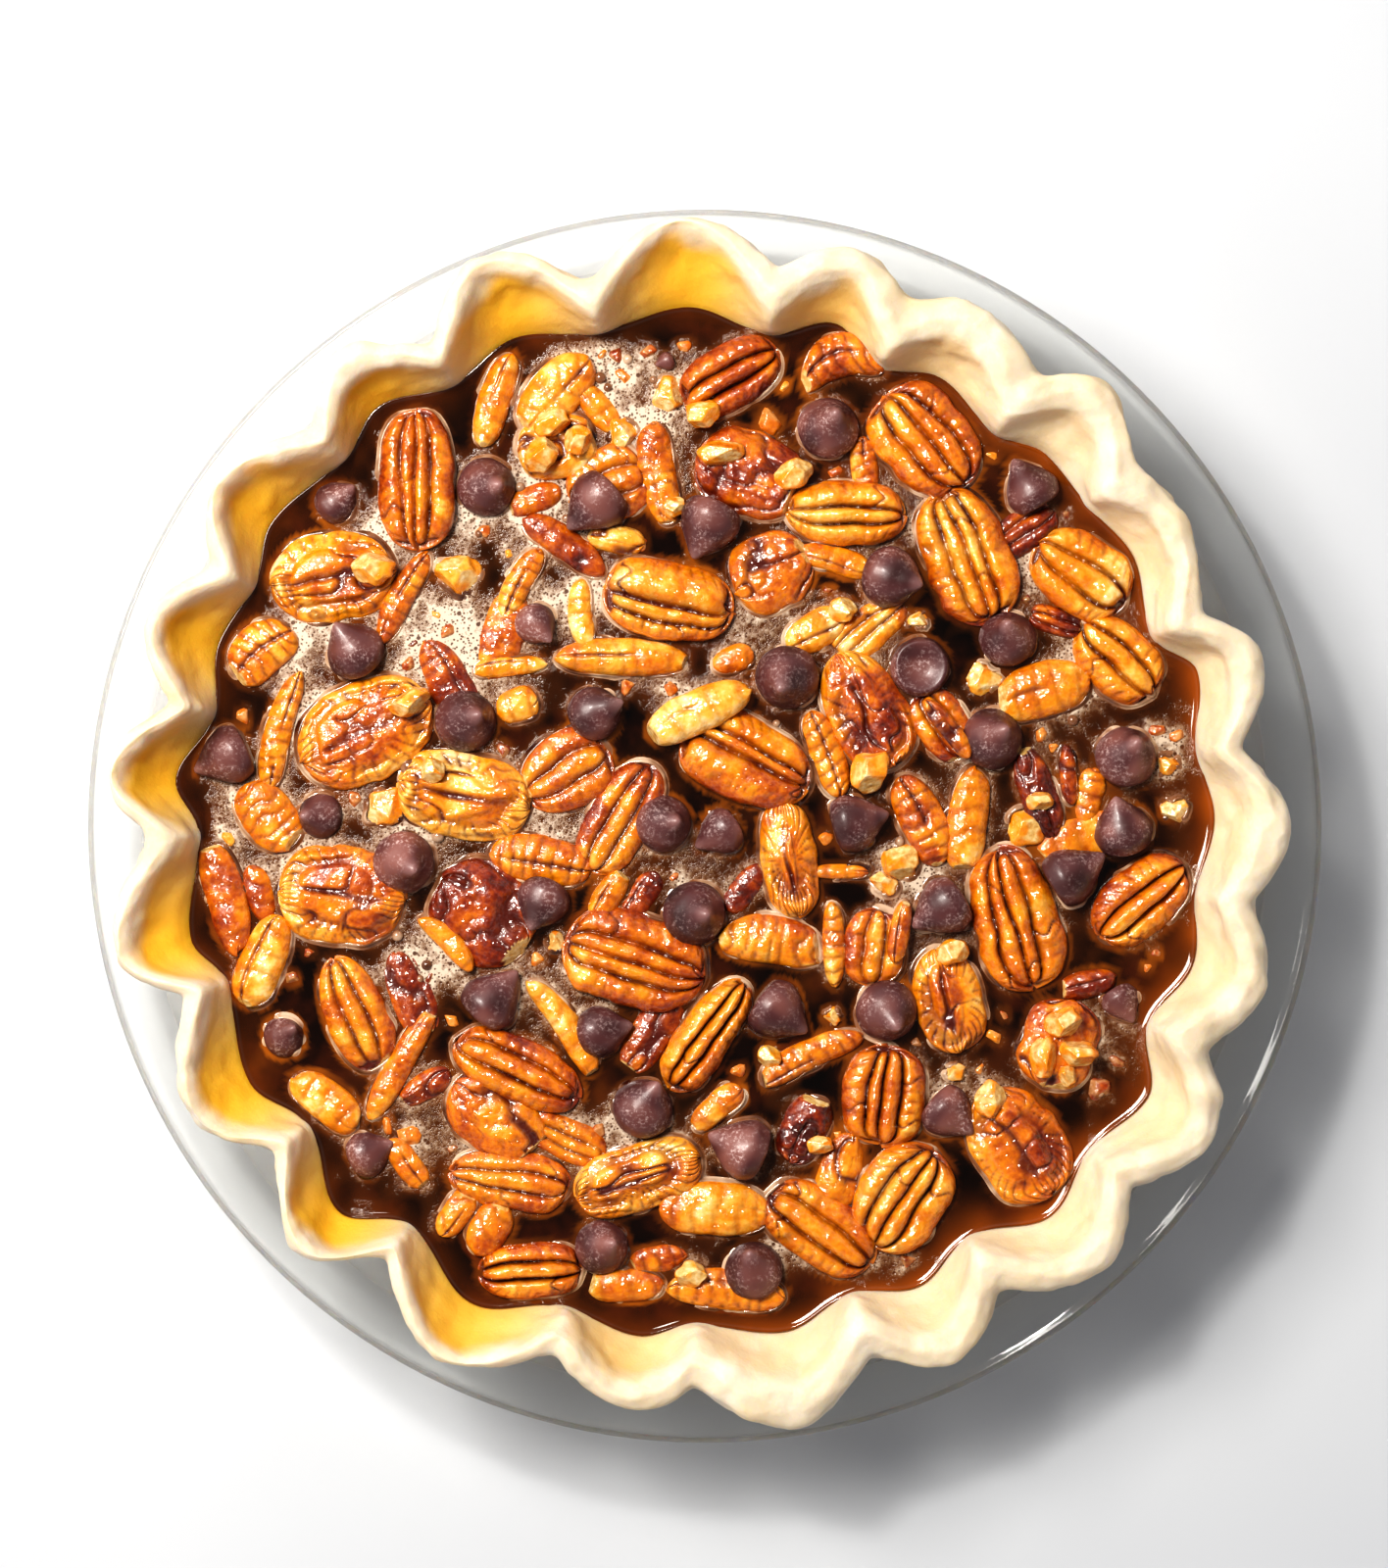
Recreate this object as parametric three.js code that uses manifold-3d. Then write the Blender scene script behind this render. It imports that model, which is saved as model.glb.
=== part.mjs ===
// A pecan pie with chocolate chips, filled and ready for the oven, in its clear glass pie dish.
// Millimetres, +Z up. The origin is the centre of the dish's flat base, which stands on the table.
import * as THREE from 'three';
import { mergeVertices } from 'three/addons/utils/BufferGeometryUtils.js';
import Module from 'manifold-3d';

const wasm = await Module();
wasm.setup();

// ---- Driving dimensions ----
const GAP = 0.4; // between pieces that touch
const DISH_STEPS = 48;
const STEPS_PER_HALF_FLUTE = 3;

// The glass dish's section as [radius, height], from the axis out underneath and back along the inside.
const DISH_SECTION = [
  [0, 0], [83, 0], [87.5, 1.2], [94.3, 5.7], [110.3, 28.2], [112.5, 29.9], [118.6, 30.1], [120, 32],
  [118.6, 33.9], [112, 33.5], [108.9, 32.6], [107, 30.5], [91, 8], [84, 4.5], [0, 4.5],
];
const SYRUP_LEVEL = 31;

// The flutes, counter-clockwise from +X. A crest is pushed out over the flange and a valley is pinched in.
// crest: [angle, outer radius, hollow's reach, radius at the syrup]
const CRESTS = [
  [1, 112.2, 105.5, 98.7], [17.5, 112.2, 106, 100], [33, 110.3, 104.5, 98.1], [47.5, 115.6, 107, 97.7],
  [62.5, 112.7, 105.6, 98.1], [75.5, 114.6, 108.4, 100.6], [92, 118, 114.6, 100.6],
  [111.5, 117.9, 114, 101.5], [128, 115.2, 109.7, 103], [145, 115.6, 112.2, 102.5],
  [159.5, 114.6, 111.2, 100.6], [175, 115.6, 112.6, 102.9], [192.5, 116.5, 113.1, 101.9],
  [209.5, 113.7, 110.8, 101.2], [226.5, 113.1, 110, 103], [244, 115, 111.8, 102.9],
  [262.5, 113.7, 107.5, 99.6], [279, 116.5, 109, 99.1], [295, 114.1, 107, 98.3], [312, 115, 108.5, 101],
  [328.5, 115.6, 109, 100.6], [344.5, 112.4, 105.5, 98.3],
];
// valley: [angle, outer radius, radius at the syrup]
const VALLEYS = [
  [8.5, 104.2, 96.8], [23, 104, 94.3], [40, 108.5, 96.8], [53.5, 108.6, 94.8], [69, 109, 95.2],
  [82.5, 108.4, 96.4], [102, 107.1, 98.1], [119.5, 107.1, 98.7], [134.5, 107.1, 100], [152, 107.1, 99.2],
  [167, 106.1, 97.7], [181, 107.1, 98.1], [198, 105.2, 97.7], [217, 104.2, 96.4], [233.5, 103.3, 96.4],
  [254, 104.8, 97.3], [269, 108, 96.8], [287.5, 106.7, 95.2], [302.5, 105.6, 94.8], [320, 107.1, 97.7],
  [336, 105.7, 94.3], [352, 106.1, 96.4],
];
// The pastry round the flutes. Where a line gives [radius, height], it is the same all the way round.
const CRUST = {
  base: 4.95, // its underside, just clear of the glass
  baseEdge: [83.5, 4.95],
  outsideHeel: [90.4, 8.6],
  outsideRim: [105.5, 29.5], // where it leaves the dish's wall
  footRadius: 107.2, // where a crest starts to lie on the flange
  footHeight: 33.7,
  valleyFootStep: [1, 0.3], // a valley's foot stays this far inside the crest's foot and its own face
  valleyFootDrop: 0.9,
  lipHeight: 34.7, // the crest's outer lower corner, over the flange
  lipUndercut: 1,
  bulgeHeight: 38,
  bulge: 0.2,
  shoulder: [1, 2.1], // from the outer face in and from the ridge down
  ridge: 44.7,
  ridgeSwing: 0.7, // how much the ridge rises and falls from flute to flute
  swingRate: 1.7, // turns it by flute, so that neighbours differ
  innerRimDrop: 1.5,
  innerRim: [2.6, 0.6], // how far a valley stands out, and a crest's hollow in, at the inner rim
  innerSlope: [0.9, 0.6], // a valley's step out at half height, and how far up its hollow a crest has come
  insideHeel: [89.5, 14.2],
  floorEdge: [82, 9.1],
  floor: 9, // the pastry's upper face under the filling
  outsideSharpness: 1.3, // a low power makes broad crests with narrow notches between them
  insideSharpness: 2.4, // a high one makes broad valleys with narrow scoops between them
};

// Pecan halves: [x, y, length, width, heading, roll, lift, side up]. Heading and roll are in degrees.
const PECANS = [
  [-58, 70, 28, 15, 91, -10, 0.6, 'back'], [-72.5, 48.5, 25, 17.5, 7, 0, -0.4, 'face'],
  [5, 88.5, 21.5, 13, 30, 8, 0.2, 'back'], [43.5, 76, 24, 17.5, -48, 0, 0.4, 'back'],
  [27.5, 61, 23.5, 12.5, -2, 0, 0.8, 'back'], [51, 52.5, 28, 17, -68, 6, 0.3, 'back'],
  [74.5, 50, 21, 15.5, -35, 0, 0, 'back'], [80.5, 32.5, 20, 14, -45, 0, -0.2, 'back'],
  [-7, 44, 26, 15.5, -11, -6, 0.8, 'back'], [-66, 18.5, 28, 19.5, 27, 0, 0, 'face'],
  [-47, 6, 26.5, 17, -12, 0, 0, 'face'], [8, 13, 27, 16.5, -25, -8, 0.5, 'back'],
  [31.5, 22.5, 25, 15.5, -62, 0, 0.2, 'face'], [16.5, -6.5, 23, 11, -82, 0, 0.3, 'face'],
  [60.5, -18, 28.5, 16.5, -75, 0, 0.5, 'back'], [85, -14.5, 22, 14, 40, 12, 0, 'back'],
  [-13.5, -26, 28.5, 18.5, -15, -8, 0.4, 'back'], [-70.5, -13.5, 25, 19, -5, 0, 0, 'face'],
  [-36.5, -47.5, 27, 12.5, -25, 0, 0.3, 'back'], [0.5, -40.5, 25.5, 10.5, 55, 10, 0.3, 'back'],
  [47.5, -34, 21, 13.5, -75, 0, 0, 'face'], [35, -52.5, 20, 16.5, 85, 0, 0.3, 'back'],
  [63, -64, 23.5, 17.5, -55, 0, 0, 'face'], [38.5, -72.5, 23, 17.5, 57, 0, 0.5, 'back'],
  [22.5, -78.5, 24.5, 14, -35, 0, 0, 'back'], [-13, -68.5, 26, 13, 18, 0, 0.3, 'face'],
  [-34, -87, 21, 11, 3, 0, -0.2, 'back'],
];
// Chocolate chips: [x, y, diameter, heading of the tip, reach of the tip from the middle, lift]. A reach
// of nothing stands the chip upright, and a negative one turns it upside down.
const CHIPS = [
  [24, 77.5, 12.5, 0, 0, 0.6], [64, 65.5, 11, 122, 7.6, 0], [-42.5, 66, 12, 0, 1.9, 0],
  [-20.5, 63.5, 12.5, -137, 8.8, 0.8], [1, 59.5, 12.5, -113, 8.6, 1], [36, 48.5, 12.5, -17, 6.4, 0.6],
  [42, 31, 12, 0, -1, 0], [59, 36.5, 11.5, 0, 0, 0], [16, 29, 13, 0, 0, 0.6], [-68, 34, 12, 125, 6.3, 0.4],
  [-46.5, 20.5, 12.5, 0, 0, 0], [-21.5, 22, 11, 21, 4.3, 0.4], [-93, 14, 12, -155, 8, 0],
  [-58.5, -7, 12.5, 0, 0, 0.6], [-8, 0.5, 11.5, 0, 0, 0], [28.5, 0.5, 12, 15, 7.9, 0],
  [56, 17, 12.5, 0, 0, 0.2], [82, 13.5, 12.5, 60, 3, 0], [81.5, -1, 12, 106, 7.1, 0.2],
  [70.5, -10, 12, 32, 8.9, 0.6], [47, -15.5, 12, -149, 8.2, 0.4], [-31.5, -14.5, 11, -113, 6.2, 0.2],
  [-2, -17, 13, 0, 0, 0.6], [-42, -34.5, 12, 49, 8.8, 0], [13.5, -35.5, 12, -36, 8.2, 0.4],
  [35.5, -36, 12.5, 0, 0, 0.2], [-12, -55, 12.5, 61, 5.9, 0], [8, -63, 12.5, 157, 8.3, 0],
  [-20, -82, 11, 0, 0, 0], [9.5, -86.5, 12, 103, 4.1, 0],
];
// Chips that lie in the filling's own solid: [x, y, diameter, lift]
const SUNK_CHIPS = [
  [-33, 39.5, 8.5, 0], [3.5, -1, 9.5, 0], [-20.5, -40, 10.5, 0], [47, -55.5, 11, -1], [-75, 2, 9.5, -1.5],
  [-82, -41, 8.5, -1.5], [-72, 63, 9, -2], [81, -34, 8, -1.5], [-66, -64, 9.5, -2],
];
// Broken pecan pieces that lie in the filling's own solid: [x, y, length, width, heading]
const BROKEN_PECANS = [
  [-29, 84, 18.5, 9.5, 48], [-16, 32.5, 26, 7.5, -2], [66, 26, 18, 10, 15], [-40.5, 83, 18, 5, 72],
  [27, 88, 15, 10, 20], [25, 51.5, 15.5, 5.5, -15], [-38, 31, 14.5, 4, 5], [13, 49.5, 15.5, 14.5, 30],
  [9, 68.5, 21, 18, 0], [-8.5, 68.5, 21, 7.5, 100], [-27.5, 54.5, 19, 6.5, -35], [-27, 10.5, 18, 14.5, 30],
  [-16.5, 1.5, 24, 11.5, 60], [23.5, 14, 18, 6.5, -70], [46.5, 19.5, 14.5, 9.5, -55],
  [65.5, 6.5, 18, 5.5, -70], [42, -1, 18, 8, -65], [51.5, 1, 20, 7.5, 82], [-32, -7, 19, 8.5, -10],
  [-43, -17, 20, 18, -40], [-94, -14, 22, 7.5, -75], [-86, -26, 18, 8, 68], [-68, -36.5, 23, 11.5, -68],
  [-59, -46.5, 25, 5, 60], [-74, -54, 15, 7.5, -38], [-28, -39.5, 23, 5, -55], [13, -23.5, 19.5, 9, -8],
  [33, -23.5, 14.5, 11.5, 85], [25, -23, 17, 4, -88], [21, -45.5, 22, 5.5, 25], [69, -42.5, 19, 15.5, 70],
  [-40.5, -57, 21, 13.5, -40], [-38, -69, 23, 10.5, -8], [2, -75, 21, 10, -3], [19.5, -59, 13.5, 8.5, 65],
  [2.5, -55, 12.5, 5.5, 40], [-42, -78.5, 10.5, 7.5, 60], [-15.5, -89.5, 14, 6, 0], [4, -91.5, 22, 6, -5],
  [-85, 2, 14.5, 9.5, -50], [-82, 18.5, 24, 5, 75], [-86, 33.5, 13.5, 9.5, 40], [-58.5, 44.5, 20, 5, 62],
  [-35.5, 47, 16, 5, 62], [-28.5, 74, 15.5, 11.5, 10], [-19, 66.5, 15.5, 13.5, 20], [-1, 22, 22, 8.5, 25],
  [21.5, 38, 12.5, 7.5, 30], [-48.5, 49, 9.5, 8.5, 0], [-36.5, 23.5, 8.5, 8.5, 0],
];

// ---- Colours ----
const material = (color, roughness, extra = {}) =>
  new THREE.MeshStandardMaterial({ color, roughness, metalness: 0, flatShading: true, ...extra });
const glass = material('#e6edec', 0.05, { transparent: true, opacity: 0.35 });
const pastry = material('#f6ecd6', 0.75);
const syrup = material('#4a1c0a', 0.15);
const nut = material('#c8651a', 0.35);
const chocolate = material('#4d3236', 0.5);

// ---- Solids ----
const radians = THREE.MathUtils.degToRad;
const mix = THREE.MathUtils.lerp;

/** A geometry as a manifold solid, moved by a matrix first. */
function solidOf(geometry, matrix = new THREE.Matrix4()) {
  const bare = new THREE.BufferGeometry();
  bare.setAttribute('position', geometry.getAttribute('position').clone());
  bare.setIndex(geometry.getIndex());
  const moved = mergeVertices(bare.applyMatrix4(matrix), 1e-4);
  const vertProperties = new Float32Array(moved.getAttribute('position').array);
  const triVerts = new Uint32Array(moved.getIndex().array);
  return new wasm.Manifold(new wasm.Mesh({ numProp: 3, vertProperties, triVerts }));
}

/** A manifold solid as a geometry. */
function geometryOf(solid) {
  const { vertProperties, triVerts } = solid.getMesh();
  return meshGeometry(vertProperties, triVerts);
}

function meshGeometry(positions, triangles) {
  const geometry = new THREE.BufferGeometry();
  geometry.setAttribute('position', new THREE.Float32BufferAttribute(positions, 3));
  geometry.setIndex(Array.from(triangles));
  geometry.computeVertexNormals();
  return geometry;
}

/**
 * A closed solid from rings of points, with a single point before and after them. The longest ring sets the
 * steps round, and each of a shorter ring's points serves several. A four-sided face is split along its
 * rising diagonal, or along the falling one for a solid that fits inside one whose rings run the other way.
 */
function ringSolid(first, rings, last, falling = false) {
  const steps = Math.max(...rings.map((ring) => ring.length));
  const starts = rings.map((_, i) => 1 + rings.slice(0, i).flat().length);
  const end = 1 + rings.flat().length;
  const at = (ring, step) => {
    const count = rings[ring].length;
    return starts[ring] + (Math.round((step * count) / steps) % count);
  };
  const triangles = [];
  const add = (a, b, c) => {
    if (a !== b && b !== c && c !== a) triangles.push(a, b, c);
  };
  for (let step = 0; step < steps; step += 1) {
    add(0, at(0, step + 1), at(0, step));
    for (let ring = 0; ring + 1 < rings.length; ring += 1) {
      const corners = [at(ring, step), at(ring, step + 1), at(ring + 1, step + 1), at(ring + 1, step)];
      const [a, b, c, d] = falling ? [...corners.slice(1), corners[0]] : corners;
      add(a, b, c);
      add(a, c, d);
    }
    add(end, at(rings.length - 1, step), at(rings.length - 1, step + 1));
  }
  return meshGeometry([first, ...rings.flat(), last].flat(), triangles);
}

/** A turned solid about +Z from a section of [radius, height] that starts and ends on the axis. */
function turned(section, steps) {
  const points = section.map(([radius, height]) => new THREE.Vector2(radius, height));
  const geometry = new THREE.LatheGeometry(points, steps);
  geometry.deleteAttribute('normal');
  geometry.deleteAttribute('uv');
  return mergeVertices(geometry.rotateX(Math.PI / 2), 1e-4);
}

// ---- The flutes ----
/** One step of the walk round the crust: its angle, how far it is towards a crest, and both flute shapes. */
function fluteStep(valley, crest, valleyAngle, crestAngle, share) {
  const swing = CRUST.ridgeSwing * Math.sin(CRUST.swingRate * crest[0]);
  return {
    angle: radians(mix(valleyAngle, crestAngle, share)),
    outside: Math.sin(share * Math.PI / 2) ** CRUST.outsideSharpness,
    inside: Math.sin(share * Math.PI / 2) ** CRUST.insideSharpness,
    ridge: CRUST.ridge + swing * share,
    valley: { outer: valley[1], syrup: valley[2] },
    crest: { outer: crest[1], hollow: crest[2], syrup: crest[3] },
  };
}

/** The steps of the walk, three from each valley to its crest and three on to the next valley. */
function fluteSteps() {
  const steps = [];
  VALLEYS.forEach((valley, i) => {
    const crest = CRESTS[(i + 1) % CRESTS.length];
    const next = VALLEYS[(i + 1) % VALLEYS.length];
    const crestAngle = crest[0] < valley[0] ? crest[0] + 360 : crest[0];
    const nextAngle = next[0] < valley[0] ? next[0] + 360 : next[0];
    for (let k = 0; k < STEPS_PER_HALF_FLUTE; k += 1) {
      steps.push(fluteStep(valley, crest, valley[0], crestAngle, k / STEPS_PER_HALF_FLUTE));
    }
    for (let k = 0; k < STEPS_PER_HALF_FLUTE; k += 1) {
      steps.push(fluteStep(next, crest, nextAngle, crestAngle, 1 - k / STEPS_PER_HALF_FLUTE));
    }
  });
  return steps;
}
const WALK = fluteSteps();

const onCircle = (angle, radius, height) => [radius * Math.cos(angle), radius * Math.sin(angle), height];

/** The radius of the crust's inner face at the syrup's level, at one step. */
const syrupEdge = (step) => mix(step.valley.syrup, step.crest.syrup, step.inside);

/** The crust's section at one step, from the underside out, up over the ridge and down the inside. */
function crustSection(step) {
  const { valley, crest, outside, inside, ridge } = step;
  const outer = mix(valley.outer, crest.outer, outside);
  const valleyMiddle = (valley.outer + valley.syrup) / 2;
  const crestMiddle = (crest.outer + crest.hollow) / 2;
  const [footStep, faceStep] = CRUST.valleyFootStep;
  const valleyFoot = Math.min(CRUST.footRadius - footStep, valley.outer - faceStep);
  const [shoulderIn, shoulderDrop] = CRUST.shoulder;
  const [valleyRim, crestRim] = CRUST.innerRim;
  const [valleySlope, crestSlope] = CRUST.innerSlope;
  const hollowSlope = mix(crest.syrup, crest.hollow, crestSlope);
  return [
    CRUST.baseEdge,
    CRUST.outsideHeel,
    CRUST.outsideRim,
    [mix(valleyFoot, CRUST.footRadius, outside), CRUST.footHeight - CRUST.valleyFootDrop * (1 - outside)],
    [mix(valley.outer, crest.outer - CRUST.lipUndercut, outside), CRUST.lipHeight],
    [outer + CRUST.bulge, CRUST.bulgeHeight],
    [outer - shoulderIn, ridge - shoulderDrop],
    [mix(valleyMiddle, crestMiddle, (outside + inside) / 2), ridge],
    [mix(valley.syrup + valleyRim, crest.hollow - crestRim, inside), ridge - CRUST.innerRimDrop],
    [mix(valley.syrup + valleySlope, hollowSlope, inside), CRUST.bulgeHeight],
    [syrupEdge(step), SYRUP_LEVEL],
    CRUST.insideHeel,
    CRUST.floorEdge,
  ];
}

/** Rings of points from each step's section. A round one has a point only at each crest and valley. */
function ringsRound(sectionAt) {
  const sections = WALK.map(sectionAt);
  return sections[0].map(([radius], ring) => {
    const points = WALK.map((step, i) => onCircle(step.angle, sections[i][ring][0], sections[i][ring][1]));
    const round = sections.every((section) => section[ring][0] === radius);
    return round ? points.filter((_, i) => i % STEPS_PER_HALF_FLUTE === 0) : points;
  });
}

function crustGeometry() {
  return ringSolid([0, 0, CRUST.base], ringsRound(crustSection), [0, 0, CRUST.floor]);
}

/** The room inside the crust at one step: its inner face up to its inner rim, moved in by the gap. */
function roomSection(step) {
  const [rim, slope, edge, heel, floor] = crustSection(step).slice(-5);
  return [
    [floor[0] - GAP, floor[1] + GAP],
    [heel[0] - GAP, heel[1] + GAP / 2],
    [edge[0] - GAP, SYRUP_LEVEL],
    [slope[0] - GAP, slope[1]],
    [rim[0] - GAP, rim[1]],
  ];
}
const ROOM_RINGS = ringsRound(roomSection);
const room = solidOf(ringSolid([0, 0, CRUST.floor + GAP], ROOM_RINGS, [0, 0, CRUST.ridge], true));

function syrupGeometry() {
  return ringSolid([0, 0, CRUST.floor + GAP], ROOM_RINGS.slice(0, 3), [0, 0, SYRUP_LEVEL], true);
}

// ---- Toppings ----
// Half a pecan's section as [share of the half width, height in mm], for each side that can lie up. A back
// has two long furrows, and a face has a raised rim round its folded middle.
const PECAN_SIDES = {
  back: { up: [[1, -0.2], [0.68, 3], [0.32, 2.2], [0, 4]], down: [0.55, -2.8] },
  face: { up: [[1, 0.2], [0.7, 3], [0.36, 1.1], [0, 2.7]], down: [0.6, -3] },
};
const PECAN_STATIONS = [-0.88, -0.5, 0, 0.5, 0.88]; // along it, as shares of half the length
const PECAN_FULLNESS = 3.2; // a higher power keeps it wide further towards its ends
const PECAN_TAPER = 0.08;
const PECAN_END = 0.5; // how high its two ends lie

/** A pecan half along +X, lying with its waterline at z = 0. */
function pecanGeometry(length, width, side) {
  const { up, down } = PECAN_SIDES[side];
  const right = [[-down[0], down[1]], [down[0], down[1]], ...up];
  const left = up.slice(0, -1).reverse().map(([share, height]) => [-share, height]);
  const rings = PECAN_STATIONS.map((station) => {
    const narrowing = Math.sqrt(1 - Math.abs(station) ** PECAN_FULLNESS) * (1 - PECAN_TAPER * station);
    const x = station * length / 2;
    return [...right, ...left].map(([share, height]) =>
      [x, share * narrowing * width / 2, height * Math.sqrt(narrowing)]);
  });
  return ringSolid([-length / 2, 0, PECAN_END], rings, [length / 2, 0, PECAN_END]);
}

const CHIP_SIDES = 8;
const SUNK_CHIP_SIDES = 5;
const CHIP_HEIGHT = 0.6; // from its widest ring to its point, as a share of the diameter
const SUNK_CHIP_HEIGHT = 0.32; // these lie low, on their sides
const CHIP_FLOAT = 0.6; // how far over the syrup its widest ring lies
const CHIP_BASE = { radius: 0.84, depth: 0.5 }; // as shares of its radius
const CHIP_SHOULDER = { radius: 0.74, height: 0.5 }; // as shares of its radius
const CHIP_NECK = { radius: 0.27, height: 0.8 }; // as shares of its radius and of its point's height
const CHIP_STEEPEST = 0.98; // the sine of a chip that lies flat, its side on the syrup

/** A teardrop chip about +Z from a flat base to a point, with its widest ring at z = 0. */
function chipGeometry(diameter, tipHeight, sides) {
  const radius = diameter / 2;
  const base = -CHIP_BASE.depth * radius;
  return turned([
    [0, base],
    [CHIP_BASE.radius * radius, base],
    [radius, 0],
    [CHIP_SHOULDER.radius * radius, CHIP_SHOULDER.height * radius],
    [CHIP_NECK.radius * radius, CHIP_NECK.height * tipHeight],
    [0, tipHeight],
  ], sides);
}

/** The same geometry grown by the gap on every side, about its own origin. */
function grown(geometry) {
  geometry.computeBoundingBox();
  const { min, max } = geometry.boundingBox;
  const scale = ['x', 'y', 'z'].map((axis) => {
    const least = Math.min(-min[axis], max[axis]);
    return (least + GAP) / least;
  });
  return geometry.clone().scale(...scale);
}

/** The largest radius that is still clear of the crust at an angle, from its two nearest steps. */
function clearRadius(angle) {
  const turn = (a) => Math.abs(Math.atan2(Math.sin(a), Math.cos(a)));
  const nearest = WALK.map((step) => [turn(step.angle - angle), syrupEdge(step)]).sort((a, b) => a[0] - b[0]);
  return Math.min(nearest[0][1], nearest[1][1]) - GAP;
}

/** Moves a topping straight in towards the middle until every corner of it is clear of the crust. */
function keepInside(mesh) {
  mesh.updateMatrixWorld();
  const corners = mesh.geometry.getAttribute('position');
  const corner = new THREE.Vector3();
  let excess = 0;
  for (let i = 0; i < corners.count; i += 1) {
    corner.fromBufferAttribute(corners, i).applyMatrix4(mesh.matrixWorld);
    excess = Math.max(excess, Math.hypot(corner.x, corner.y) - clearRadius(Math.atan2(corner.y, corner.x)));
  }
  const reach = Math.hypot(mesh.position.x, mesh.position.y);
  const share = (reach - excess) / reach;
  mesh.position.set(mesh.position.x * share, mesh.position.y * share, mesh.position.z);
  mesh.updateMatrixWorld();
}

function named(name, geometry, look) {
  const mesh = new THREE.Mesh(geometry, look);
  mesh.name = name;
  return mesh;
}

const numbered = (word, index) => `${word}_${String(index + 1).padStart(2, '0')}`;

function pecanMesh([x, y, length, width, heading, roll, lift, side], index) {
  const mesh = named(numbered('pecan', index), pecanGeometry(length, width, side), nut);
  mesh.position.set(x, y, SYRUP_LEVEL + lift);
  mesh.rotation.set(radians(roll), 0, radians(heading), 'ZYX');
  return mesh;
}

/** A chip leans until its tip reaches as far as given, and is drawn out where even a flat one can't. */
function chipMesh([x, y, diameter, heading, reach, lift], index) {
  const tipHeight = Math.max(CHIP_HEIGHT * diameter, reach);
  const lean = reach < 0 ? Math.PI : Math.asin(CHIP_STEEPEST * Math.min(1, reach / tipHeight));
  const mesh = named(numbered('chip', index), chipGeometry(diameter, tipHeight, CHIP_SIDES), chocolate);
  mesh.position.set(x, y, SYRUP_LEVEL + CHIP_FLOAT + lift);
  mesh.rotation.set(0, lean, radians(heading), 'ZYX');
  return mesh;
}

/** Trims a topping by the crust and by the grown shapes of the toppings over it, in the mesh's own frame. */
function trimmed(mesh, neighbours) {
  let solid = solidOf(mesh.geometry, mesh.matrixWorld).intersect(room);
  for (const neighbour of neighbours) {
    solid = solid.subtract(solidOf(grown(neighbour.geometry), neighbour.matrixWorld));
  }
  return geometryOf(solid).applyMatrix4(mesh.matrixWorld.clone().invert());
}

/** Whether two toppings may touch, judged by the grown spheres round them. */
function near(one, other) {
  const reach = (mesh) => {
    mesh.geometry.computeBoundingSphere();
    return mesh.geometry.boundingSphere.radius + GAP;
  };
  return one.position.distanceTo(other.position) < reach(one) + reach(other);
}

const POCKET_TOP = 8; // how far a pocket is cut upwards, past anything that lies beside a topping
const CHIP_POCKET_SIDES = 6;
const CHIP_POCKET_FLOOR = 0.8; // the tub's floor as a share of its mouth
const TIP_REACH = 0.86; // the share of the tip's reach that lies low enough to press on the syrup

/** The hollow that a chip leaves in the syrup: a six-sided tub, drawn out under the tip of one that leans. */
function chipPocket([, , diameter, , reach], mesh) {
  const side = diameter / 2 + GAP;
  const corner = side / Math.cos(Math.PI / CHIP_POCKET_SIDES);
  const front = Math.max(side, TIP_REACH * reach + GAP);
  const depth = reach < 0 ? CHIP_HEIGHT * diameter + GAP : side;
  const outline = [[front, 0.5 * corner], [0, corner], [-side, 0.5 * corner]];
  const loop = [...outline, ...outline.map(([x, y]) => [x, -y]).reverse()];
  const ring = (scale, z) => loop.map(([x, y]) => [x * scale, y * scale, z]);
  const rings = [ring(CHIP_POCKET_FLOOR, -depth), ring(1, 0), ring(1, POCKET_TOP)];
  const tub = ringSolid([0, 0, -depth], rings, [0, 0, POCKET_TOP]);
  return solidOf(tub, new THREE.Matrix4().makeRotationZ(mesh.rotation.z).setPosition(mesh.position));
}

// Along a pecan's pocket: [share of half the length, share of the width].
const PECAN_POCKET_STATIONS = [[-1.03, 0.6], [-0.64, 1], [0.64, 1], [1.03, 0.56]];
const PECAN_POCKET_FLOOR = 0.68; // its half width as a share of the pecan's
const PECAN_POCKET_MOUTH = { side: 1.06, height: 0.2, spare: 0.1 };

/** The hollow that a pecan half leaves in the syrup: a trough round it, with upright sides above. */
function pecanPocket([, , length, width, , , , side], mesh) {
  const depth = PECAN_SIDES[side].down[1] - GAP;
  const { side: mouth, height: mouthHeight, spare } = PECAN_POCKET_MOUTH;
  const section = [[PECAN_POCKET_FLOOR, depth], [mouth, mouthHeight], [mouth, POCKET_TOP]];
  const loop = [...section, ...section.map(([share, height]) => [-share, height]).reverse()];
  const rings = PECAN_POCKET_STATIONS.map(([station, narrowing]) => loop.map(([share, height]) =>
    [station * length / 2, share * narrowing * width / 2 + Math.sign(share) * spare, height]));
  const middle = ([station]) => [station * length / 2, 0, 0];
  const trough = ringSolid(middle(PECAN_POCKET_STATIONS[0]), rings, middle(PECAN_POCKET_STATIONS.at(-1)));
  return solidOf(trough, mesh.matrixWorld);
}

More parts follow.
